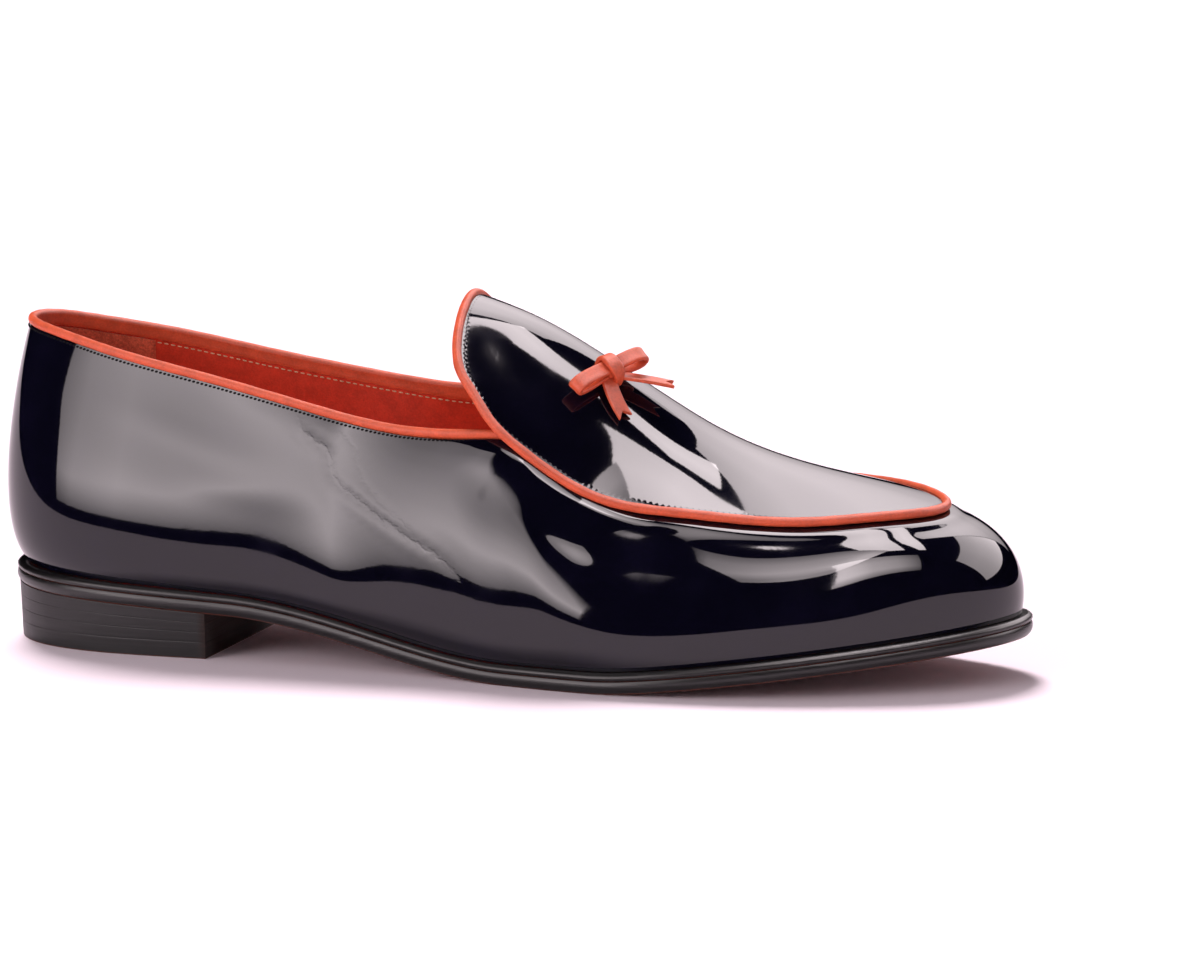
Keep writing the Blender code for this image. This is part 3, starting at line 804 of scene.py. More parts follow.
def heel_finish(name, black, brown):
    """Stacked leather: sides dyed black with the layers' fine level lines; the breast dark brown, darkened
    near black as painted shade.
    """
    finish, f, dress = new_finish(name, Specular_IOR_Level=0.45)
    breast = f.mask("breast")
    layers = f.noise(300, 2.0, 0.6, (0.10, 0.10, 5.0))
    scuff = f.noise(90, 4.0, 0.65)
    # The breast takes the sole leather at a tenth to a fifth: its own dark brown, darkened further as painted
    # shade for the shadow it stands in.
    sides = breast.mix(layers.tones(black, 0.75, 1.5), layers.tones(brown, 0.10, 0.2))
    colour = f.mask("rub").mix(sides, shade(brown, 0.9))
    dress(Base_Color=colour, Roughness=0.36 + scuff * 0.22 + breast * 0.4, Normal=f.bump(layers, 2.5e-5))
    return finish


def thread_finish(name, colour, roughness):
    """Twisted thread: slanting strands along each stitch."""
    finish, f, dress = new_finish(name, Specular_IOR_Level=0.12)
    strands = f.noise(3500, 2.0)
    dress(Base_Color=strands.tones(colour, 0.7, 1.15), Roughness=roughness, Normal=f.bump(strands, 4.0e-5))
    return finish


def floor_finish(name, colour):
    """Matt white board with a faint weave."""
    finish, f, dress = new_finish(name, Specular_IOR_Level=0.0, Roughness=1.0)
    place = f.node("TexCoord", output=3)
    split = [f.node("SeparateXYZ", inputs={0: place}, output=k) for k in (0, 1)]
    weave = f.math("SINE", split[0] * 2600) * f.math("SINE", split[1] * 2600)
    dress(Base_Color=(weave * 0.5 + 0.5).mix(shade(colour, 0.985), shade(colour, 1.0)))
    return finish


def upper_parts(crease, stations=640):
    """The patent wall: outer face with its relief, a top edge inside the binding, and a plain inner face.

    Points are the wall's curves over angle and height, moved along the normals by the relief, which fades at
    the foot and the top line, and by the bells of the vamp's roll and lean.
    """
    angle = sole_plan.even_angles(stations)
    rim = 0.955
    share = np.r_[np.linspace(0, rim, 82, endpoint=False), np.linspace(rim, 1.006, 18)]
    face, normal = wall(angle, share)
    fade = smooth_step(share, 0.02, 0.15) * smooth_step(1 - share, 0.0, 0.10)
    step = np.linalg.norm(np.diff(face, axis=1, append=face[:, -1:]), axis=-1)
    below = np.cumsum(step[:, ::-1], axis=1)[:, ::-1]
    x = face[..., 0]
    roll = ROLL_HEIGHT * bell((below - ROLL_AT) / ROLL_WIDTH) * smooth_step(x, *ROLL_X)
    lean = bell((below - LEAN_OUT[0]) / LEAN_OUT[1]) - LEAN_DEPTH * bell((below - LEAN_IN[0]) / LEAN_IN[1])
    beside = smooth_step(x, *LEAN_X[:2]) * (1 - smooth_step(x, *LEAN_X[2:]))
    lean = LEAN_HEIGHT * lean * beside * smooth_step(x - SLANT * below, *LEAN_SLANT)
    plain = np.zeros((stations, 14))
    inner, _ = wall(angle, np.linspace(1.0, 0.0, 14), plain + PATENT_DEPTH)
    masks = {}
    for k, (side, strength) in enumerate(crease_places(face)):
        masks[f"crease_{k}"] = np.concatenate([side, plain + CREASE_FAR], 1)
        masks[f"fade_{k}"] = np.concatenate([strength, plain], 1)
    face = face + normal * (crease * fade * quarter_relief(face) + roll + lean)[..., None]
    return sheet_part(face, inner, True, **masks)


def lining_parts(stations=360):
    """The lining: the wall's curves between two depths, with low slack waves on its visible side."""
    angle = sole_plan.even_angles(stations)
    share = np.linspace(0.0, 0.998, 34)
    slack = LINING_SLACK * np.sin(angle[:, None] * 31) * np.sin(np.pi * share) ** 2
    visible, _ = wall(angle, share, UPPER_WALL - HAIR + slack)
    hidden, _ = wall(angle, share[::-3], np.full((stations, len(share[::-3])), PATENT_DEPTH + 0.03))
    return sheet_part(visible, hidden, True)


def grip_parts(stations=150):
    """The suede heel patch: a thin layer on the lining round the back, its ends rounded as circles."""
    turn = sole_plan.angle_at(GRIP_X)
    angle = np.linspace(turn, TURN - turn, stations)
    share = GRIP_FOOT + (below_top(angle, BAND + 0.3) - GRIP_FOOT) * np.linspace(0, 1, 40)
    end = np.minimum(np.arange(stations), np.arange(stations)[::-1])
    rise = np.sqrt(1 - (1 - np.clip(end / 3, 0, 1)) ** 2)[:, None]
    back = np.full((stations, 40), UPPER_WALL + HAIR)
    slack = 0.06 * np.sin(angle[:, None] * 23) * np.sin(share * 14)
    visible, _ = wall(angle, share, back + (GRIP_DEPTH + slack) * rise)
    hidden, _ = wall(angle, share[:, ::-1], back)
    return sheet_part(visible, hidden)


def binding_angles(count, end_x=BINDING_END_X):
    """Angles along the collar, from the medial end round the heel to the lateral end."""
    end = top_plan.angle_at(end_x)
    return top_plan.even_angles(count, end, TURN - end)


def binding_parts(bead, stations=420):
    """The collar binding: a round bead on the edge, whose inner side runs down the lining as a thin band.

    The section goes up the band's face, over the bead as an arc of a circle and back down behind the band.
    """
    angle = binding_angles(stations, BINDING_REACH)
    out = np.stack([*top_plan.outward(angle), 0 * angle], -1)
    middle = top_edge(angle) - UPPER_WALL / 2 * out
    middle[:, 2] += GAP + bead
    ragged = 0.14 * np.sin(angle * 190) + 0.10 * np.sin(angle * 83)
    down = (BAND + ragged)[:, None] * np.linspace(1, 0.06, 10)
    lip = np.r_[0.0, BAND_LIP, np.full(8, BAND_FACE)]
    face, _ = wall(angle, below_top(angle, down), UPPER_WALL + lip)
    behind, _ = wall(angle, below_top(angle, down[:, ::-1]), np.full((stations, 10), UPPER_WALL - 0.1))
    turn = np.radians(np.linspace(*BEAD_ARC, 20))
    swell = bead * (1 + BEAD_UNEVEN * np.sin(angle * 61))[:, None, None]
    up = np.array((0, 0, 1.0))
    arc = middle[:, None] + swell * (np.cos(turn)[:, None] * out[:, None] + np.sin(turn)[:, None] * up)
    points = np.concatenate([face, arc, behind], 1)
    ends = points[[0, -1]].mean(1, keepdims=True) * np.ones((1, points.shape[1], 1))
    return grid_part(np.concatenate([ends[:1], points, ends[1:]]))


def tube_parts(path, normal, radius, closed, across=18):
    """A round section carried along a path; normal is roughly across it, and radius may follow the path."""
    if closed:
        way = unit(np.roll(path, -1, 0) - np.roll(path, 1, 0))
    else:
        way = unit(np.gradient(path, axis=0))
    side = unit(np.cross(way, normal))
    up = np.cross(side, way)
    turn = np.linspace(0, TURN, across, endpoint=False)
    ring = np.cos(turn)[:, None] * side[:, None] + np.sin(turn)[:, None] * up[:, None]
    return grid_part(path[:, None] + np.reshape(radius, (-1, 1, 1)) * ring, closed)


def piping_parts(bead, stations=560):
    """The apron's piping: a bead along the seam, with a groove on the medial side where its two ends meet."""
    angle = apron_plan.even_angles(stations)
    x, y = apron_plan.at(angle)
    splice = bell((x - SPLICE_X) / SPLICE_WIDTH) * (y > 0)
    radius = bead * (1 + BEAD_UNEVEN * np.sin(angle * 47) - SPLICE_DEPTH * splice)
    return tube_parts(on_apron(x, y, PIPING_RISE), apron_normal(x, y), radius, True)


def seam_outline(count=1400):
    """Points of the apron's seam from the tongue's top round, and the travel along it."""
    x, y = apron_plan.at(apron_plan.even_angles(count, np.pi))
    points = on_apron(x, y)
    step = np.linalg.norm(np.diff(points, axis=0, append=points[:1]), axis=1)
    return points, np.cumsum(step) - step[0]


def inside_seam(angle, distance):
    """Plan points inside the apron's seam, at a distance over its sloping face."""
    x, y = apron_plan.at(angle)
    nx, ny = apron_plan.outward(angle)
    along, across = apron_slopes(x, y)
    return apron_plan.inset(angle, distance / np.hypot(1, along * nx + across * ny))


def apron_rows(stations, across, inset):
    """Plan points x and y on rows straight across the apron, between edges that stand inside the seam."""
    angle = np.linspace(0, np.pi, stations)
    edges = [np.stack(inside_seam(side, inset), -1) for side in (angle, -angle)]
    share = 0.5 - 0.5 * np.cos(np.linspace(0, np.pi, across))
    share = (0.6 * share + 0.4 * np.linspace(0, 1, across))[None, :, None]
    return np.moveaxis(edges[0][:, None] * (1 - share) + edges[1][:, None] * share, -1, 0)


def apron_parts(stations=250, across=130):
    """The patent apron: its face dips like a bell towards the seam; the underside runs parallel to it."""
    x, y = apron_rows(stations, across, APRON_EDGE)
    face = on_apron(x, y)
    outline, travel = seam_outline()
    from_seam = np.empty(x.shape)
    along = np.empty(x.shape)
    for row in range(stations):
        gap = np.linalg.norm(face[row][:, None] - outline, axis=-1)
        from_seam[row] = gap.min(1)
        along[row] = travel[gap.argmin(1)]
    dip = SEAM_DIP * bell(from_seam / SEAM_WIDTH)
    waves = 0.02 * np.sin(x / 6.1 + y / 8.0) * np.sin(y / 5.3 - x / 15.0)
    face = on_apron(x, y, waves - dip)
    under = on_apron(x, y, -APRON_PATENT - 0.4 * dip)[:, ::-1]
    masks = {"seam": from_seam, "travel": along}
    masks = {key: np.concatenate([mask, mask[:, ::-1]], 1) for key, mask in masks.items()}
    return sheet_part(face, under, **masks)


def apron_lining_parts(stations=120, across=40):
    """The lining under the apron: rows across between two depths below its face."""
    x, y = apron_rows(stations, across, APRON_EDGE + 0.2)
    return sheet_part(on_apron(x, y, -APRON_PATENT - 0.05), on_apron(x, y, -APRON_WALL)[:, ::-1])


def stitch_parts(path, normal, pitch, length, radius, slant=0.0):
    """A row of stitches: at each pitch along the path a small capsule, half sunk, turned by the slant."""
    travel = way_along(path)
    at = np.arange(pitch / 2, travel[-1], pitch)

    def placed(values, places):
        return np.stack([np.interp(places, travel, column) for column in values.T], -1)

    up = unit(placed(normal, at))
    way = unit(placed(path, at + 0.3) - placed(path, at - 0.3))
    side = np.cross(up, way)
    turn = math.radians(slant)
    way, side = way * math.cos(turn) + side * math.sin(turn), side * math.cos(turn) - way * math.sin(turn)
    along = np.array((-0.5, -0.42, 0.0, 0.42, 0.5))[:, None, None] * length
    thick = np.array((0.0, 0.75, 1.0, 0.75, 0.0))[:, None, None] * radius
    sink = np.array((-0.6, -0.25, 0.15, -0.25, -0.6))[:, None, None] * radius
    around = np.linspace(0, TURN, 6, endpoint=False)[:, None]
    centre, way, side, up = (values[:, None, None] for values in (placed(path, at), way, side, up))
    return repeat_part(centre + along * way + (sink + thick * np.sin(around)) * up
                       + thick * np.cos(around) * side)


def binding_stitches(pitch, radius):
    """Black stitches on the patent just under the binding."""
    angle = binding_angles(900)
    path, normal = wall(angle, below_top(angle, 0.2))
    return stitch_parts(path[:, 0], normal[:, 0], pitch * BINDING_PITCH, pitch * BINDING_STITCH,
                        radius * BINDING_THREAD, BINDING_SLANT)


def band_stitches(pitch, radius):
    """Off-white stitches on the lining just below the binding's inner band."""
    angle = binding_angles(900)
    path, normal = wall(angle, below_top(angle, BAND + BAND_TO_STITCHES), UPPER_WALL)
    ahead = path[:, 0, 0] > GRIP_X + GRIP_TO_STITCHES + 0.1
    parts = []
    for side in (angle < np.pi, angle > np.pi):
        row = ahead & side
        parts.append(stitch_parts(path[row, 0], -normal[row, 0], pitch, pitch * STITCH, radius))
    return parts


def grip_stitches(pitch, radius):
    """Off-white stitches down the smooth lining along both edges of the suede patch."""
    turn = sole_plan.angle_at(GRIP_X + GRIP_TO_STITCHES)
    share = np.linspace(0.1, 0.88, 200)
    parts = []
    for angle in (turn, TURN - turn):
        path, normal = wall(np.array([angle]), share, UPPER_WALL)
        parts.append(stitch_parts(path[0], -normal[0], pitch, pitch * STITCH, radius))
    return parts


def apron_stitches(pitch, radius):
    """Black stitches along the inner side of the piping."""
    angle = apron_plan.even_angles(1200)
    x, y = inside_seam(angle, BEAD + SEAM_TO_STITCHES)
    return stitch_parts(on_apron(x, y, -0.22), apron_normal(x, y), pitch, pitch * (STITCH + 0.02), radius)


def bow_frame(roll=0.0, turn=0.0):
    """The bow's seat over the apron, with its axes along the loops, towards the toe and out of the apron.

    A roll lifts the axis of the loops out of the apron, and a turn swings its near end towards the toe.
    """
    normal = apron_normal(np.array(BOW_X), np.array(BOW_Y))
    seat = on_apron(np.array(BOW_X), np.array(BOW_Y), BOW_LIFT)
    way = math.radians(BOW_TURN)
    level = np.array((math.sin(way), math.cos(way), 0))
    flat = unit(level - normal * (level @ normal))
    forward = np.cross(flat, normal)
    roll, turn = math.radians(roll), math.radians(turn)
    loops = flat * math.cos(roll) + normal * math.sin(roll)
    out = normal * math.cos(roll) - flat * math.sin(roll)
    swung = loops * math.cos(turn) - forward * math.sin(turn)
    return seat, swung, forward * math.cos(turn) + loops * math.sin(turn), out


def in_axes(origin, axes, *amounts):
    """Points at amounts along the axes from an origin."""
    return origin + np.stack(np.broadcast_arrays(*amounts), -1) @ np.stack(axes)


def power(value, exponent):
    return np.sign(value) * np.abs(value) ** exponent


def strip_section(count=28):
    """Side and height of a strip's section: a superellipse, a little fuller at its edges."""
    turn = np.linspace(0, TURN, count, endpoint=False)
    side = power(np.cos(turn), 0.5)
    return side, power(np.sin(turn), 0.5) * (1 - 0.22 * (1 - side**2) ** 2)


def strip_parts(path_at, across_at, width, thick, notch=0.0, rows=60):
    """A leather strip: the section carried along a path, closed at both ends, forked where notch is above 0.

    path_at gives points for a share of the way, across_at the width's direction; the fork shortens the way of
    the middle of the strip more than that of its edges.
    """
    side, height = strip_section()
    share = np.linspace(0, 1, rows)[:, None] * (1 - notch * (1 - np.abs(side)))
    small = 1e-3
    across = across_at(share)
    way = path_at(share + small) - path_at(share - small)
    up = unit(np.cross(way, across))
    flat = path_at(share) + across * (side * width / 2)[None, :, None]
    points = flat + up * (height * thick / 2)[None, :, None]
    return grid_part(np.concatenate([flat[:1], points, flat[-1:]]))


def loop_parts(side, reach, part, roll, turn, width, thick):
    """A folded loop: out along its axis and back as a cosine, its strands parted by a growing sine."""
    seat, loops, forward, out = bow_frame(roll, turn)

    def path_at(share):
        around = share * TURN
        far = (1 - np.cos(around)) / 2
        away = side * (LOOP_FROM + reach * far)
        height = LOOP_MIDDLE - part * np.sin(around) * (0.3 + 0.7 * far) - 0.55 * thick * (1 - 2 * share)
        return in_axes(seat, (loops, out), away, height)

    def across_at(share):
        return np.broadcast_to(forward, (*share.shape, 3))

    return strip_parts(path_at, across_at, width, thick, rows=90)


def tail_parts(start, tip_x, tip_y, tip_lift, sag, arch, twist, width, thick):
    """A tail: a parabola from under the knot to its tip, bent by sag and arch, twisted and forked."""
    seat, loops, forward, out = bow_frame(KNOT_ROLL, KNOT_TURN)
    root = in_axes(seat, (loops, forward, out), start, KNOT[1] / 2 - TAIL_INSIDE, TAIL_START)
    tip = on_apron(np.array(tip_x), np.array(tip_y), tip_lift)
    bend = (root + tip) / 2 + sag * loops + arch * out
    turn = math.radians(twist)

    def path_at(share):
        t = share[..., None]
        return root * (1 - t) ** 2 + bend * 2 * t * (1 - t) + tip * t**2

    def across_at(share):
        small = 1e-3
        way = unit(path_at(share + small) - path_at(share - small))
        across = unit(np.cross(way, out))
        return across * math.cos(turn) + np.cross(across, way) * math.sin(turn)

    return strip_parts(path_at, across_at, width, thick, TAIL_NOTCH)


def knot_parts(thick):
    """The knot: a superellipsoid core, and a strip wrapped over it from behind, down to the toe side."""
    seat, loops, forward, out = bow_frame(KNOT_ROLL, KNOT_TURN)
    centre = seat + out * KNOT[2] / 2
    u = np.linspace(0, np.pi, 30)[:, None]
    v = np.linspace(0, TURN, 40, endpoint=False)[None, :]

    half = [size / 2 - inside for size, inside in zip(KNOT, KNOT_INSIDE)]
    along = power(np.cos(u), 0.6) * half[0]
    ahead = power(np.sin(u), 0.6) * power(np.cos(v), 0.75) * half[1]
    above = power(np.sin(u), 0.6) * power(np.sin(v), 0.75) * half[2]
    core = in_axes(centre, (loops, forward, out), along, ahead, above)

    def path_at(share):
        turn = np.radians(WRAP_FROM - WRAP_SWEEP * share)
        reach = power(np.cos(turn), 0.8) * KNOT[1] / 2 + 1.2 * smooth_step(share, 0.6, 1.0)
        height = power(np.sin(turn), 0.8) * KNOT[2] / 2 - 1.0 * smooth_step(share, 0.75, 1.0)
        return in_axes(centre, (loops, forward, out), share - 0.3, reach, height)

    def across_at(share):
        return (1.0 - 0.6 * smooth_step(share, 0.6, 1.0))[..., None] * loops

    return [grid_part(core), strip_parts(path_at, across_at, WRAP_WIDTH, thick)]


def layer_parts(insets, heights, low, high, stations=260, across=24):
    """A layer of the sole: rows straight across the plan, each a closed loop round both edges.

    An edge is a line of insets and height shares from the bottom up; the faces follow low and high over x.
    """
    angle = np.linspace(0, np.pi, stations)
    sides = []
    for way in (angle, -angle):
        plan = [sole_plan.inset(way, inset(way) if callable(inset) else inset) for inset in insets]
        x = np.stack([p[0] for p in plan], 1)
        y = np.stack([p[1] for p in plan], 1)
        z = low(x) + (high(x) - low(x)) * np.array(heights)
        sides.append(np.stack([x, y, z], -1))
    share = np.linspace(0, 1, across + 2)[1:-1, None]

    def straight(first, second, height):
        row = first[:, None] * (1 - share) + second[:, None] * share
        row[..., 2] = height(row[..., 0])
        return row

    bottom = straight(sides[0][:, 0], sides[1][:, 0], low)
    top = straight(sides[1][:, -1], sides[0][:, -1], high)
    points = np.concatenate([sides[0][:, ::-1], bottom, sides[1], top], 1)
    rim = np.r_[heights[::-1], np.full(across, -0.5), heights, np.full(across, 1.5)]
    return grid_part(points, rim=rim)


def rounded_edge(bottom, bulge, top, count=12):
    """Insets and height shares of a rounded edge: a sine-shaped bulge between a bottom and a top inset."""
    share = np.linspace(0, 1, count)
    inset = bottom * (1 - share) ** 3 + top * share**3 + bulge * (1 - np.sin(np.pi * share) ** 0.6)
    return inset, share


def heel_ring(height, share_up, inset, count, breast=14):
    """D-shaped ring of the heel, straight across at the breast, tapering towards the floor."""
    corner = sole_plan.angle_at(BREAST_X)
    angle = np.linspace(corner, TURN - corner, count)
    x, y = sole_plan.inset(angle, HEEL_INSET + HEEL_TAPER * (1 - share_up) + inset)
    x[[0, -1]] = BREAST_X - inset
    share = np.linspace(0, 1, breast + 2)[1:-1]
    x = np.r_[x, np.full(breast, BREAST_X - inset)]
    y = np.r_[y, y[-1] * (1 - share) + y[0] * share]
    return np.stack([x, y, height(x)], -1)


def heel_parts(low, high, share_low, share_high, worn=0.0):
    """A heel layer: D-shaped rings from its underside's middle, round two small bevels, to its top's middle.

    worn is how far the rub of use shows round its lower edge.
    """
    rings = []
    for up in (0.0, 0.03, 0.07, 0.5, 0.93, 0.97, 1.0):
        share = share_low + (share_high - share_low) * up
        bevel = HEEL_BEVEL if up in (0.0, 1.0) else 0.0
        rings.append(heel_ring(lambda x, s=up: low(x) * (1 - s) + high(x) * s, share, bevel, HEEL_STATIONS))
    middles = [ring.mean(0, keepdims=True) * np.ones_like(ring) for ring in (rings[0], rings[-1])]
    points = np.stack([middles[0], *rings, middles[1]])
    breast = (points[..., 0] > BREAST_X - 0.5) * 1.0
    rub = worn * (np.arange(len(points)) < 3)[:, None]
    return grid_part(points, breast=breast, rub=rub)


COLOUR = {"subtype": "COLOR", "size": 3, "min": 0, "max": 1}


class PatentSettings(bpy.types.PropertyGroup):
    colour: FloatVectorProperty(name="Colour", description="Colour under the lacquer",
                                default=(0.0021, 0.0018, 0.0060), **COLOUR)
    crease: FloatProperty(name="Creases", description="Depth of the creases against their usual depth",
                          subtype="FACTOR", min=0, max=2, default=1.0)


class TrimSettings(bpy.types.PropertyGroup):
    colour: FloatVectorProperty(name="Trim", description="Colour of binding, piping and bow",
                                default=(0.66, 0.095, 0.037), **COLOUR)
    lining: FloatVectorProperty(name="Lining", description="Colour of the smooth lining",
                                default=(0.66, 0.056, 0.025), **COLOUR)
    suede: FloatVectorProperty(name="Suede", description="Colour of the heel patch",
                               default=(0.70, 0.150, 0.076), **COLOUR)
    bead: FloatProperty(name="Bead", description="Radius of the binding and the piping", unit="LENGTH",
                        min=0.0005, max=0.003, default=BEAD * MM)


class ThreadSettings(bpy.types.PropertyGroup):
    dark: FloatVectorProperty(name="Dark thread", description="Thread on the patent",
                              default=(0.003, 0.003, 0.0035), **COLOUR)
    light: FloatVectorProperty(name="Light thread", description="Thread on the lining",
                               default=(0.74, 0.52, 0.33), **COLOUR)
    pitch: FloatProperty(name="Pitch", description="Distance from stitch to stitch", unit="LENGTH",
                         min=0.001, max=0.006, default=0.002)
    thickness: FloatProperty(name="Thickness", description="Radius of the thread", unit="LENGTH",
                             min=0.0001, max=0.0006, default=0.00025)


class BowSettings(bpy.types.PropertyGroup):
    width: FloatProperty(name="Width", description="Width of the bow's strips", unit="LENGTH",
                         min=0.002, max=0.01, default=0.0045)
    thickness: FloatProperty(name="Thickness", description="Thickness of the bow's strips", unit="LENGTH",
                             min=0.0005, max=0.003, default=0.0016)


class SoleSettings(bpy.types.PropertyGroup):
    edge: FloatVectorProperty(name="Edge", description="Dye on the sole's edge and the heel",
                              default=(0.006, 0.0055, 0.006), **COLOUR)
    leather: FloatVectorProperty(name="Leather", description="Undyed sole leather",
                                 default=(0.12, 0.030, 0.016), **COLOUR)


class StageSettings(bpy.types.PropertyGroup):
    floor: FloatVectorProperty(name="Floor", description="Colour of the floor",
                               default=(0.97, 0.79, 0.88), **COLOUR)
    sky: FloatProperty(name="Fill", description="Even light from all round", min=0, max=4, default=0.34)
    sun: FloatProperty(name="Overhead", description="Wide light from above", min=0, max=10, default=3.5)


class LoaferSettings(bpy.types.PropertyGroup):
    patent: PointerProperty(name="Patent", description="Lacquered upper and apron", type=PatentSettings)
    trim: PointerProperty(name="Trim", description="Orange leathers", type=TrimSettings)
    thread: PointerProperty(name="Thread", description="Stitches", type=ThreadSettings)
    bow: PointerProperty(name="Bow", description="Strips of the bow", type=BowSettings)
    sole: PointerProperty(name="Sole", description="Sole and heel", type=SoleSettings)
    stage: PointerProperty(name="Stage", description="Floor and light", type=StageSettings)


class LOAFER_OT_sole(bpy.types.Operator):
    """Outsole, midsole and insole"""
    bl_idname = "loafer.sole"
    bl_label = "Sole"

    def execute(self, context):
        s = context.scene.loafer
        leather = sole_finish("waxed_sole_leather", s.sole.edge, s.sole.leather)
        outsole = layer_parts(*rounded_edge(*OUTSOLE_EDGE), under_z, lambda x: under_z(x) + OUTSOLE + 0.1)
        add_piece("outsole_leather", outsole, leather, ["outsole"])
        midsole = layer_parts(*rounded_edge(*MIDSOLE_EDGE), lambda x: under_z(x) + OUTSOLE + 0.16,
                              lambda x: top_z(x) + 0.1)
        add_piece("midsole_edge", midsole, leather, ["midsole"])

        def sock_inset(rounding):
            return lambda angle: feather_inset(sole_plan.at(angle)[0]) + UPPER_WALL + 0.1 + rounding

        def sock_top(x):
            return top_z(x) + GAP + INSOLE - HEEL_HOLLOW * bell((x - HOLLOW_X) / HOLLOW_WIDTH)

        insets = [sock_inset(rounding) for rounding in (0.0, 0.0, 0.35)]
        sock = layer_parts(insets, np.array((0.0, 0.8, 1.0)), lambda x: top_z(x) + 0.15, sock_top)
        add_piece("insole_sock", sock, leather_finish("sock_leather", s.trim.lining, 0.52), ["insole"])
        return {"FINISHED"}


class LOAFER_OT_heel(bpy.types.Operator):
    """Stacked lifts and the top piece"""
    bl_idname = "loafer.heel"
    bl_label = "Heel"

    def execute(self, context):
        s = context.scene.loafer
        stack = heel_finish("stacked_heel", s.sole.edge, s.sole.leather)

        def level(k):
            return lambda x: TOP_PIECE + (under_z(x) - TOP_PIECE) * k / LIFTS

        share = TOP_PIECE / SEAT_BACK
        top_piece = heel_parts(lambda x: 0 * x, lambda x: 0 * x + TOP_PIECE - HAIR, 0, share, 1.0)
        add_piece("top_piece", top_piece, stack, ["heel_top_piece"])
        for k in range(LIFTS):
            high = level(k + 1)
            shares = [share + (1 - share) * edge / LIFTS for edge in (k, k + 1)]
            lift = heel_parts(level(k), lambda x: high(x) - HAIR, *shares)
            add_piece(f"lift_{k + 1}", lift, stack, [f"heel_lift_{k + 1}"])
        return {"FINISHED"}


class LOAFER_OT_upper(bpy.types.Operator):
    """Patent vamp and quarters"""
    bl_idname = "loafer.upper"
    bl_label = "Upper"

    def execute(self, context):
        s = context.scene.loafer
        finish = patent_finish("patent_upper", s.patent.colour, creases=len(CREASES))
        add_piece("upper_patent", upper_parts(s.patent.crease), finish, ["upper"])
        return {"FINISHED"}


class LOAFER_OT_lining(bpy.types.Operator):
    """Smooth lining and the suede heel patch"""
    bl_idname = "loafer.lining"
    bl_label = "Lining"

    def execute(self, context):
        trim = context.scene.loafer.trim
        smooth = leather_finish("lining_leather", trim.lining, 0.48)
        add_piece("quarter_lining", lining_parts(), smooth)
        add_piece("apron_lining", apron_lining_parts(), smooth)
        suede = suede_finish("heel_grip_suede", trim.suede)
        add_piece("heel_grip", grip_parts(), suede)
        return {"FINISHED"}


class LOAFER_OT_apron(bpy.types.Operator):
    """Patent apron and tongue"""
    bl_idname = "loafer.apron"
    bl_label = "Apron"

    def execute(self, context):
        s = context.scene.loafer
        finish = patent_finish("patent_apron", s.patent.colour, s.thread.pitch * APRON_PITCH / MM)
        add_piece("apron_patent", apron_parts(), finish, ["apron"])
        return {"FINISHED"}


class LOAFER_OT_trim(bpy.types.Operator):
    """Collar binding and apron piping"""
    bl_idname = "loafer.trim"
    bl_label = "Binding and piping"

    def execute(self, context):
        trim = context.scene.loafer.trim
        finish = leather_finish("trim_leather", trim.colour, 0.42)
        bead = trim.bead / MM
        add_piece("binding", binding_parts(bead), finish, ["collar_binding"])
        add_piece("piping", piping_parts(bead), finish, ["apron_piping"])
        return {"FINISHED"}


class LOAFER_OT_stitches(bpy.types.Operator):
    """Rows of stitches on the patent and on the lining"""
    bl_idname = "loafer.stitches"
    bl_label = "Stitches"

    def execute(self, context):
        thread = context.scene.loafer.thread
        pitch = thread.pitch / MM
        radius = thread.thickness / MM
        dark = thread_finish("dark_thread", thread.dark, 0.75)
        light = thread_finish("light_thread", thread.light, 0.7)
        add_piece("binding_stitches", binding_stitches(pitch, radius), dark)
        add_piece("apron_stitches", apron_stitches(pitch * APRON_PITCH, radius), dark)
        add_piece("band_stitches", band_stitches(pitch, radius * LIGHT_THREAD), light)
        add_piece("grip_stitches", grip_stitches(pitch, radius * LIGHT_THREAD), light)
        return {"FINISHED"}


class LOAFER_OT_bow(bpy.types.Operator):
    """Knot, loops and tails of the bow"""
    bl_idname = "loafer.bow"
    bl_label = "Bow"

    def execute(self, context):
        s = context.scene.loafer
        finish = leather_finish("bow_leather", s.trim.colour, 0.40, 1500)
        width = s.bow.width / MM
        thick = s.bow.thickness / MM
        add_piece("knot", knot_parts(thick), finish, ["bow_knot"])
        strips = {name: loop_parts(*place, width, thick) for name, *place in LOOPS}
        strips.update({name: tail_parts(*place, width, thick * TAIL_THICKNESS) for name, *place in TAILS})
        for name, parts in strips.items():
            add_piece(name, parts, finish, [f"bow_{name}"])
        return {"FINISHED"}


def direction(azimuth, elevation):
    """A way from the shoe: degrees from its lateral side towards the heel, and degrees above the floor."""
    a, e = math.radians(azimuth), math.radians(elevation)
    return Vector((-math.sin(a) * math.cos(e), -math.cos(a) * math.cos(e), math.sin(e)))


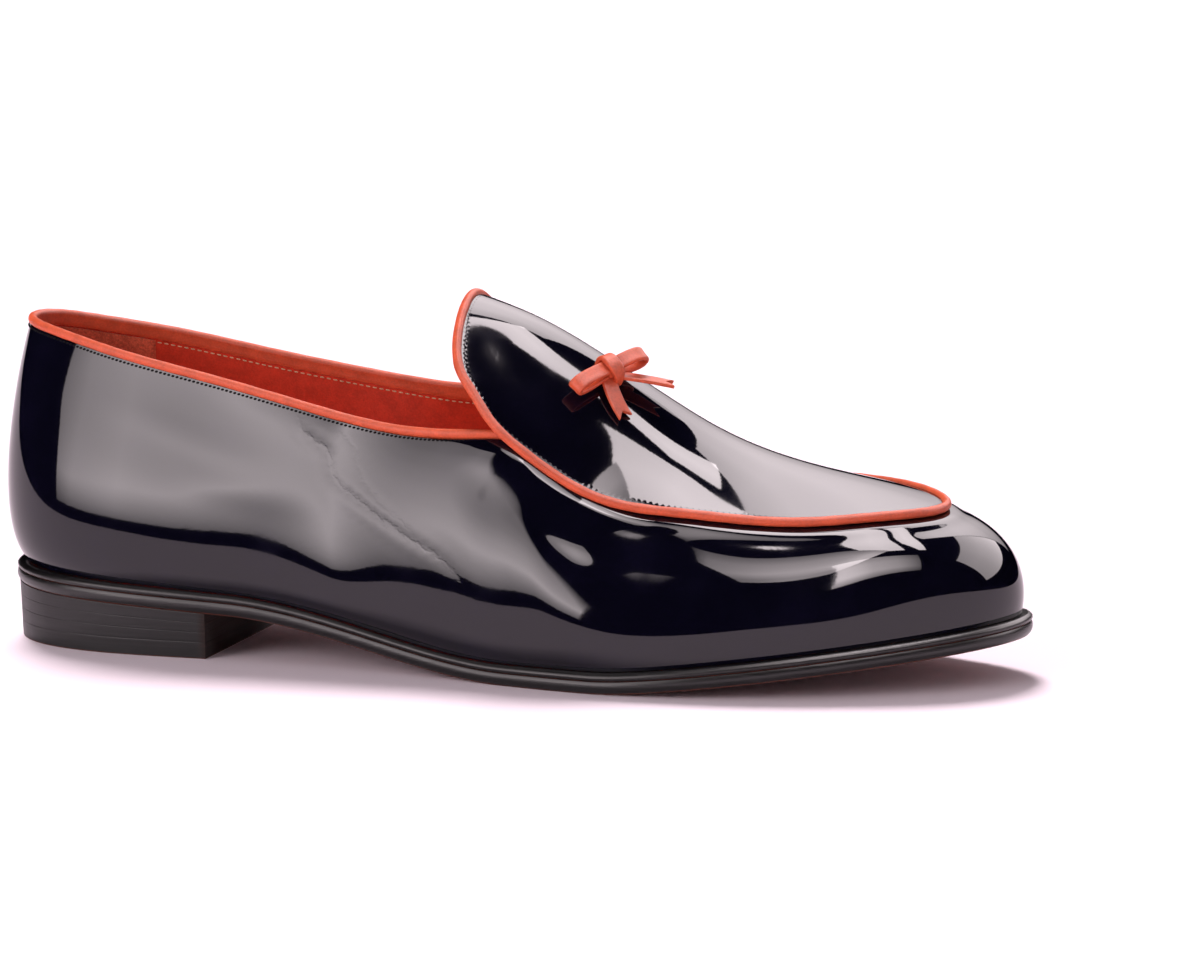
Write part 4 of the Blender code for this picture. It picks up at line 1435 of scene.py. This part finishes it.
def add_softbox(name, azimuth, tilt, across, up, radiance, across_stops, up_stops, roll=0.0, cut=None):
    """A soft light panel, seen only in gloss, in a plane that faces the shoe.

    across and up are its edges in that plane, as shares of its distance; the stops give its brightness over
    them. A cut darkens all to the right of a line: where it leaves the bottom edge and how far it leans.
    """
    facing = direction(azimuth, tilt)
    turn = math.radians(azimuth)
    right = Vector((math.cos(turn), -math.sin(turn), 0))
    above = facing.cross(right)
    light = bpy.data.lights.new(name, "AREA")
    light.shape = "RECTANGLE"
    light.size = PANEL_DISTANCE * (across[1] - across[0])
    light.size_y = PANEL_DISTANCE * (up[1] - up[0])
    light.energy = radiance * math.pi * light.size * light.size_y
    light.color = PANEL_TINT
    light.use_nodes = True
    f = Field(light.node_tree)
    place = f.node("NewGeometry", output=5)
    ways = [f.node("SeparateXYZ", inputs={0: place}, output=k) for k in (0, 1)]
    tones = [f.node("ValToRGB", {"stops": [(at, (value,) * 3) for at, value in stops]}, {0: way})
             for way, stops in zip(ways, (across_stops, up_stops))]
    multiply = {"data_type": "RGBA", "blend_type": "MULTIPLY"}
    glow = f.node("Mix", multiply, {0: 1.0, 6: tones[0], 7: tones[1]}, 2)
    f.feed(light.node_tree.nodes["Emission"].inputs["Color"], glow)
    if cut:
        kept = 1 - (ways[0] - ways[1] * cut[1]).between(cut[0] - CUT_SOFT, cut[0] + CUT_SOFT)
        f.feed(light.node_tree.nodes["Emission"].inputs["Strength"], kept)
    panel = add_object(name, light)
    panel.location = PANEL_DISTANCE * (facing + right * sum(across) / 2 + above * sum(up) / 2)
    axes = Matrix((right, above, facing)).transposed()
    panel.rotation_euler = (axes @ Matrix.Rotation(math.radians(roll), 3, "Z")).to_euler()
    panel.visible_camera = False
    panel.visible_diffuse = False


PANEL_DISTANCE = 5.0
PANEL_TINT = (1.07, 0.95, 0.98)
CUT_SOFT = 0.01
EVEN = ((0.0, 0.9), (0.5, 1.0), (1.0, 0.9))
SOFTBOXES = (  # name, azimuth, tilt, edges across and up, radiance, stops of both, roll, cut
    ("front_left", 36.0, 0.0, (-0.40, 0.45), (0.075, 1.5), 8.5,
     ((0.0, 0.45), (0.17, 0.75), (0.4, 0.88), (0.6, 1.0), (0.9, 0.92), (1.0, 0.0)),
     ((0.0, 0.25), (0.02, 0.4), (0.044, 0.6), (0.072, 0.9), (0.109, 0.75), (0.184, 0.6), (0.28, 0.48),
      (0.48, 0.37), (1.0, 0.33)), 0.0, (0.845, 0.82)),
    ("front_high", 180.0, 90.0, (-0.30, 0.06), (0.17, 0.70), 12.0,
     ((0.0, 1.0), (0.18, 1.0), (0.37, 0.72), (0.64, 0.55), (0.81, 0.45), (0.93, 0.38), (1.0, 0.15)),
     ((0.0, 0.38), (0.255, 0.75), (0.594, 0.9), (0.85, 0.45), (1.0, 0.4)), 0.0, (1.256, -0.693)),
    ("front_right", -35.0, 55.0, (-0.11, 0.32), (-0.36, 0.13), 14.0,
     ((0.0, 1.0), (0.25, 0.6), (0.6, 0.45), (1.0, 0.15)),
     ((0.0, 0.4), (0.3, 1.0), (0.7, 0.9), (1.0, 0.6))),
    ("toe_side", -125.0, 0.0, (-0.70, 0.66), (0.35, 1.25), 5.5, EVEN, EVEN, 13.0),
    ("overhead", -40.4, 90.0, (-0.017, 0.224), (-0.335, 0.287), 14.0, EVEN, EVEN),
    ("overhead_far", 139.6, 90.0, (-0.40, -0.264), (-0.165, 0.335), 14.0, EVEN, EVEN, 0.0, (1.57, -1.106)),
    ("behind", 180.0, 40.0, (-0.31, 0.18), (-0.577, 0.577), 8.3, EVEN,
     ((0.0, 0.08), (0.27, 0.3), (0.44, 0.55), (0.59, 0.78), (0.83, 1.0), (1.0, 0.9))),
)
SUNS = (  # name, share of the setting, angle across, azimuth, height
    ("wide_light", 1.0, 18.0, 148.0, 60.0),
    ("front_light", 0.38, 40.0, 36.0, 18.0),
)
FLOOR_HALF = 20.0
SENSOR = 36.0
LENS = 158.925
CAMERA_WAY = (-17.0, 9.2)  # azimuth and height
CAMERA_DISTANCE = 1.5
CAMERA_TARGET = (0.02762, 0.0009, 0.05162)


class LOAFER_OT_stage(bpy.types.Operator):
    """Floor, lights and camera"""
    bl_idname = "loafer.stage"
    bl_label = "Stage"

    def execute(self, context):
        stage = context.scene.loafer.stage
        scene = context.scene
        mesh = bpy.data.meshes.new("floor")
        corners = [(FLOOR_HALF * x, FLOOR_HALF * y, 0) for x, y in ((-1, -1), (1, -1), (1, 1), (-1, 1))]
        mesh.from_pydata(corners, [], [(0, 1, 2, 3)])
        mesh.materials.append(floor_finish("floor_board", stage.floor))
        floor = add_object("floor", mesh)
        for values in SOFTBOXES:
            add_softbox(*values)
        for name, share, angle, azimuth, height in SUNS:
            sun = bpy.data.lights.new(name, "SUN")
            sun.energy = stage.sun * share
            sun.angle = math.radians(angle)
            lamp = add_object(name, sun)
            lamp.rotation_euler = direction(azimuth, height).to_track_quat("Z", "Y").to_euler()
            lamp.visible_glossy = False
        world = bpy.data.worlds.new("studio")
        world.use_nodes = True
        backing = world.node_tree.nodes["Background"]
        backing.inputs["Color"].default_value = (1.0, 1.0, 1.0, 1.0)
        backing.inputs["Strength"].default_value = stage.sky
        scene.world = world
        world.cycles_visibility.glossy = False
        scene.view_settings.view_transform = "Standard"
        scene.view_settings.look = "None"
        camera = bpy.data.cameras.new("camera")
        camera.sensor_width = SENSOR
        camera.lens = LENS
        eye = add_object("camera", camera)
        back = direction(*CAMERA_WAY)
        eye.location = Vector(CAMERA_TARGET) + back * CAMERA_DISTANCE
        eye.rotation_euler = back.to_track_quat("Z", "Y").to_euler()
        scene.camera = eye
        return {"FINISHED"}


PIECES = (LOAFER_OT_sole, LOAFER_OT_heel, LOAFER_OT_upper, LOAFER_OT_lining, LOAFER_OT_apron, LOAFER_OT_trim,
          LOAFER_OT_stitches, LOAFER_OT_bow, LOAFER_OT_stage)


class LOAFER_PT_panel(bpy.types.Panel):
    """Lists the loafer's settings and pieces"""
    bl_label = "Belgian Loafer"
    bl_idname = "LOAFER_PT_panel"
    bl_space_type = "VIEW_3D"
    bl_region_type = "UI"
    bl_category = "Loafer"

    def draw(self, context):
        for group in ("patent", "trim", "thread", "bow", "sole", "stage"):
            box = self.layout.box()
            box.label(text=group.capitalize())
            settings = getattr(context.scene.loafer, group)
            for key in settings.__annotations__:
                box.prop(settings, key)
        for piece in PIECES:
            self.layout.operator(piece.bl_idname)


CLASSES = (PatentSettings, TrimSettings, ThreadSettings, BowSettings, SoleSettings, StageSettings,
           LoaferSettings, *PIECES, LOAFER_PT_panel)


def register():
    for cls in CLASSES:
        bpy.utils.register_class(cls)
    bpy.types.Scene.loafer = PointerProperty(type=LoaferSettings)


def unregister():
    del bpy.types.Scene.loafer
    for cls in reversed(CLASSES):
        bpy.utils.unregister_class(cls)


def main():
    register()
    for piece in PIECES:
        group, name = piece.bl_idname.split(".")
        getattr(getattr(bpy.ops, group), name)()


if __name__ == "__main__":
    main()
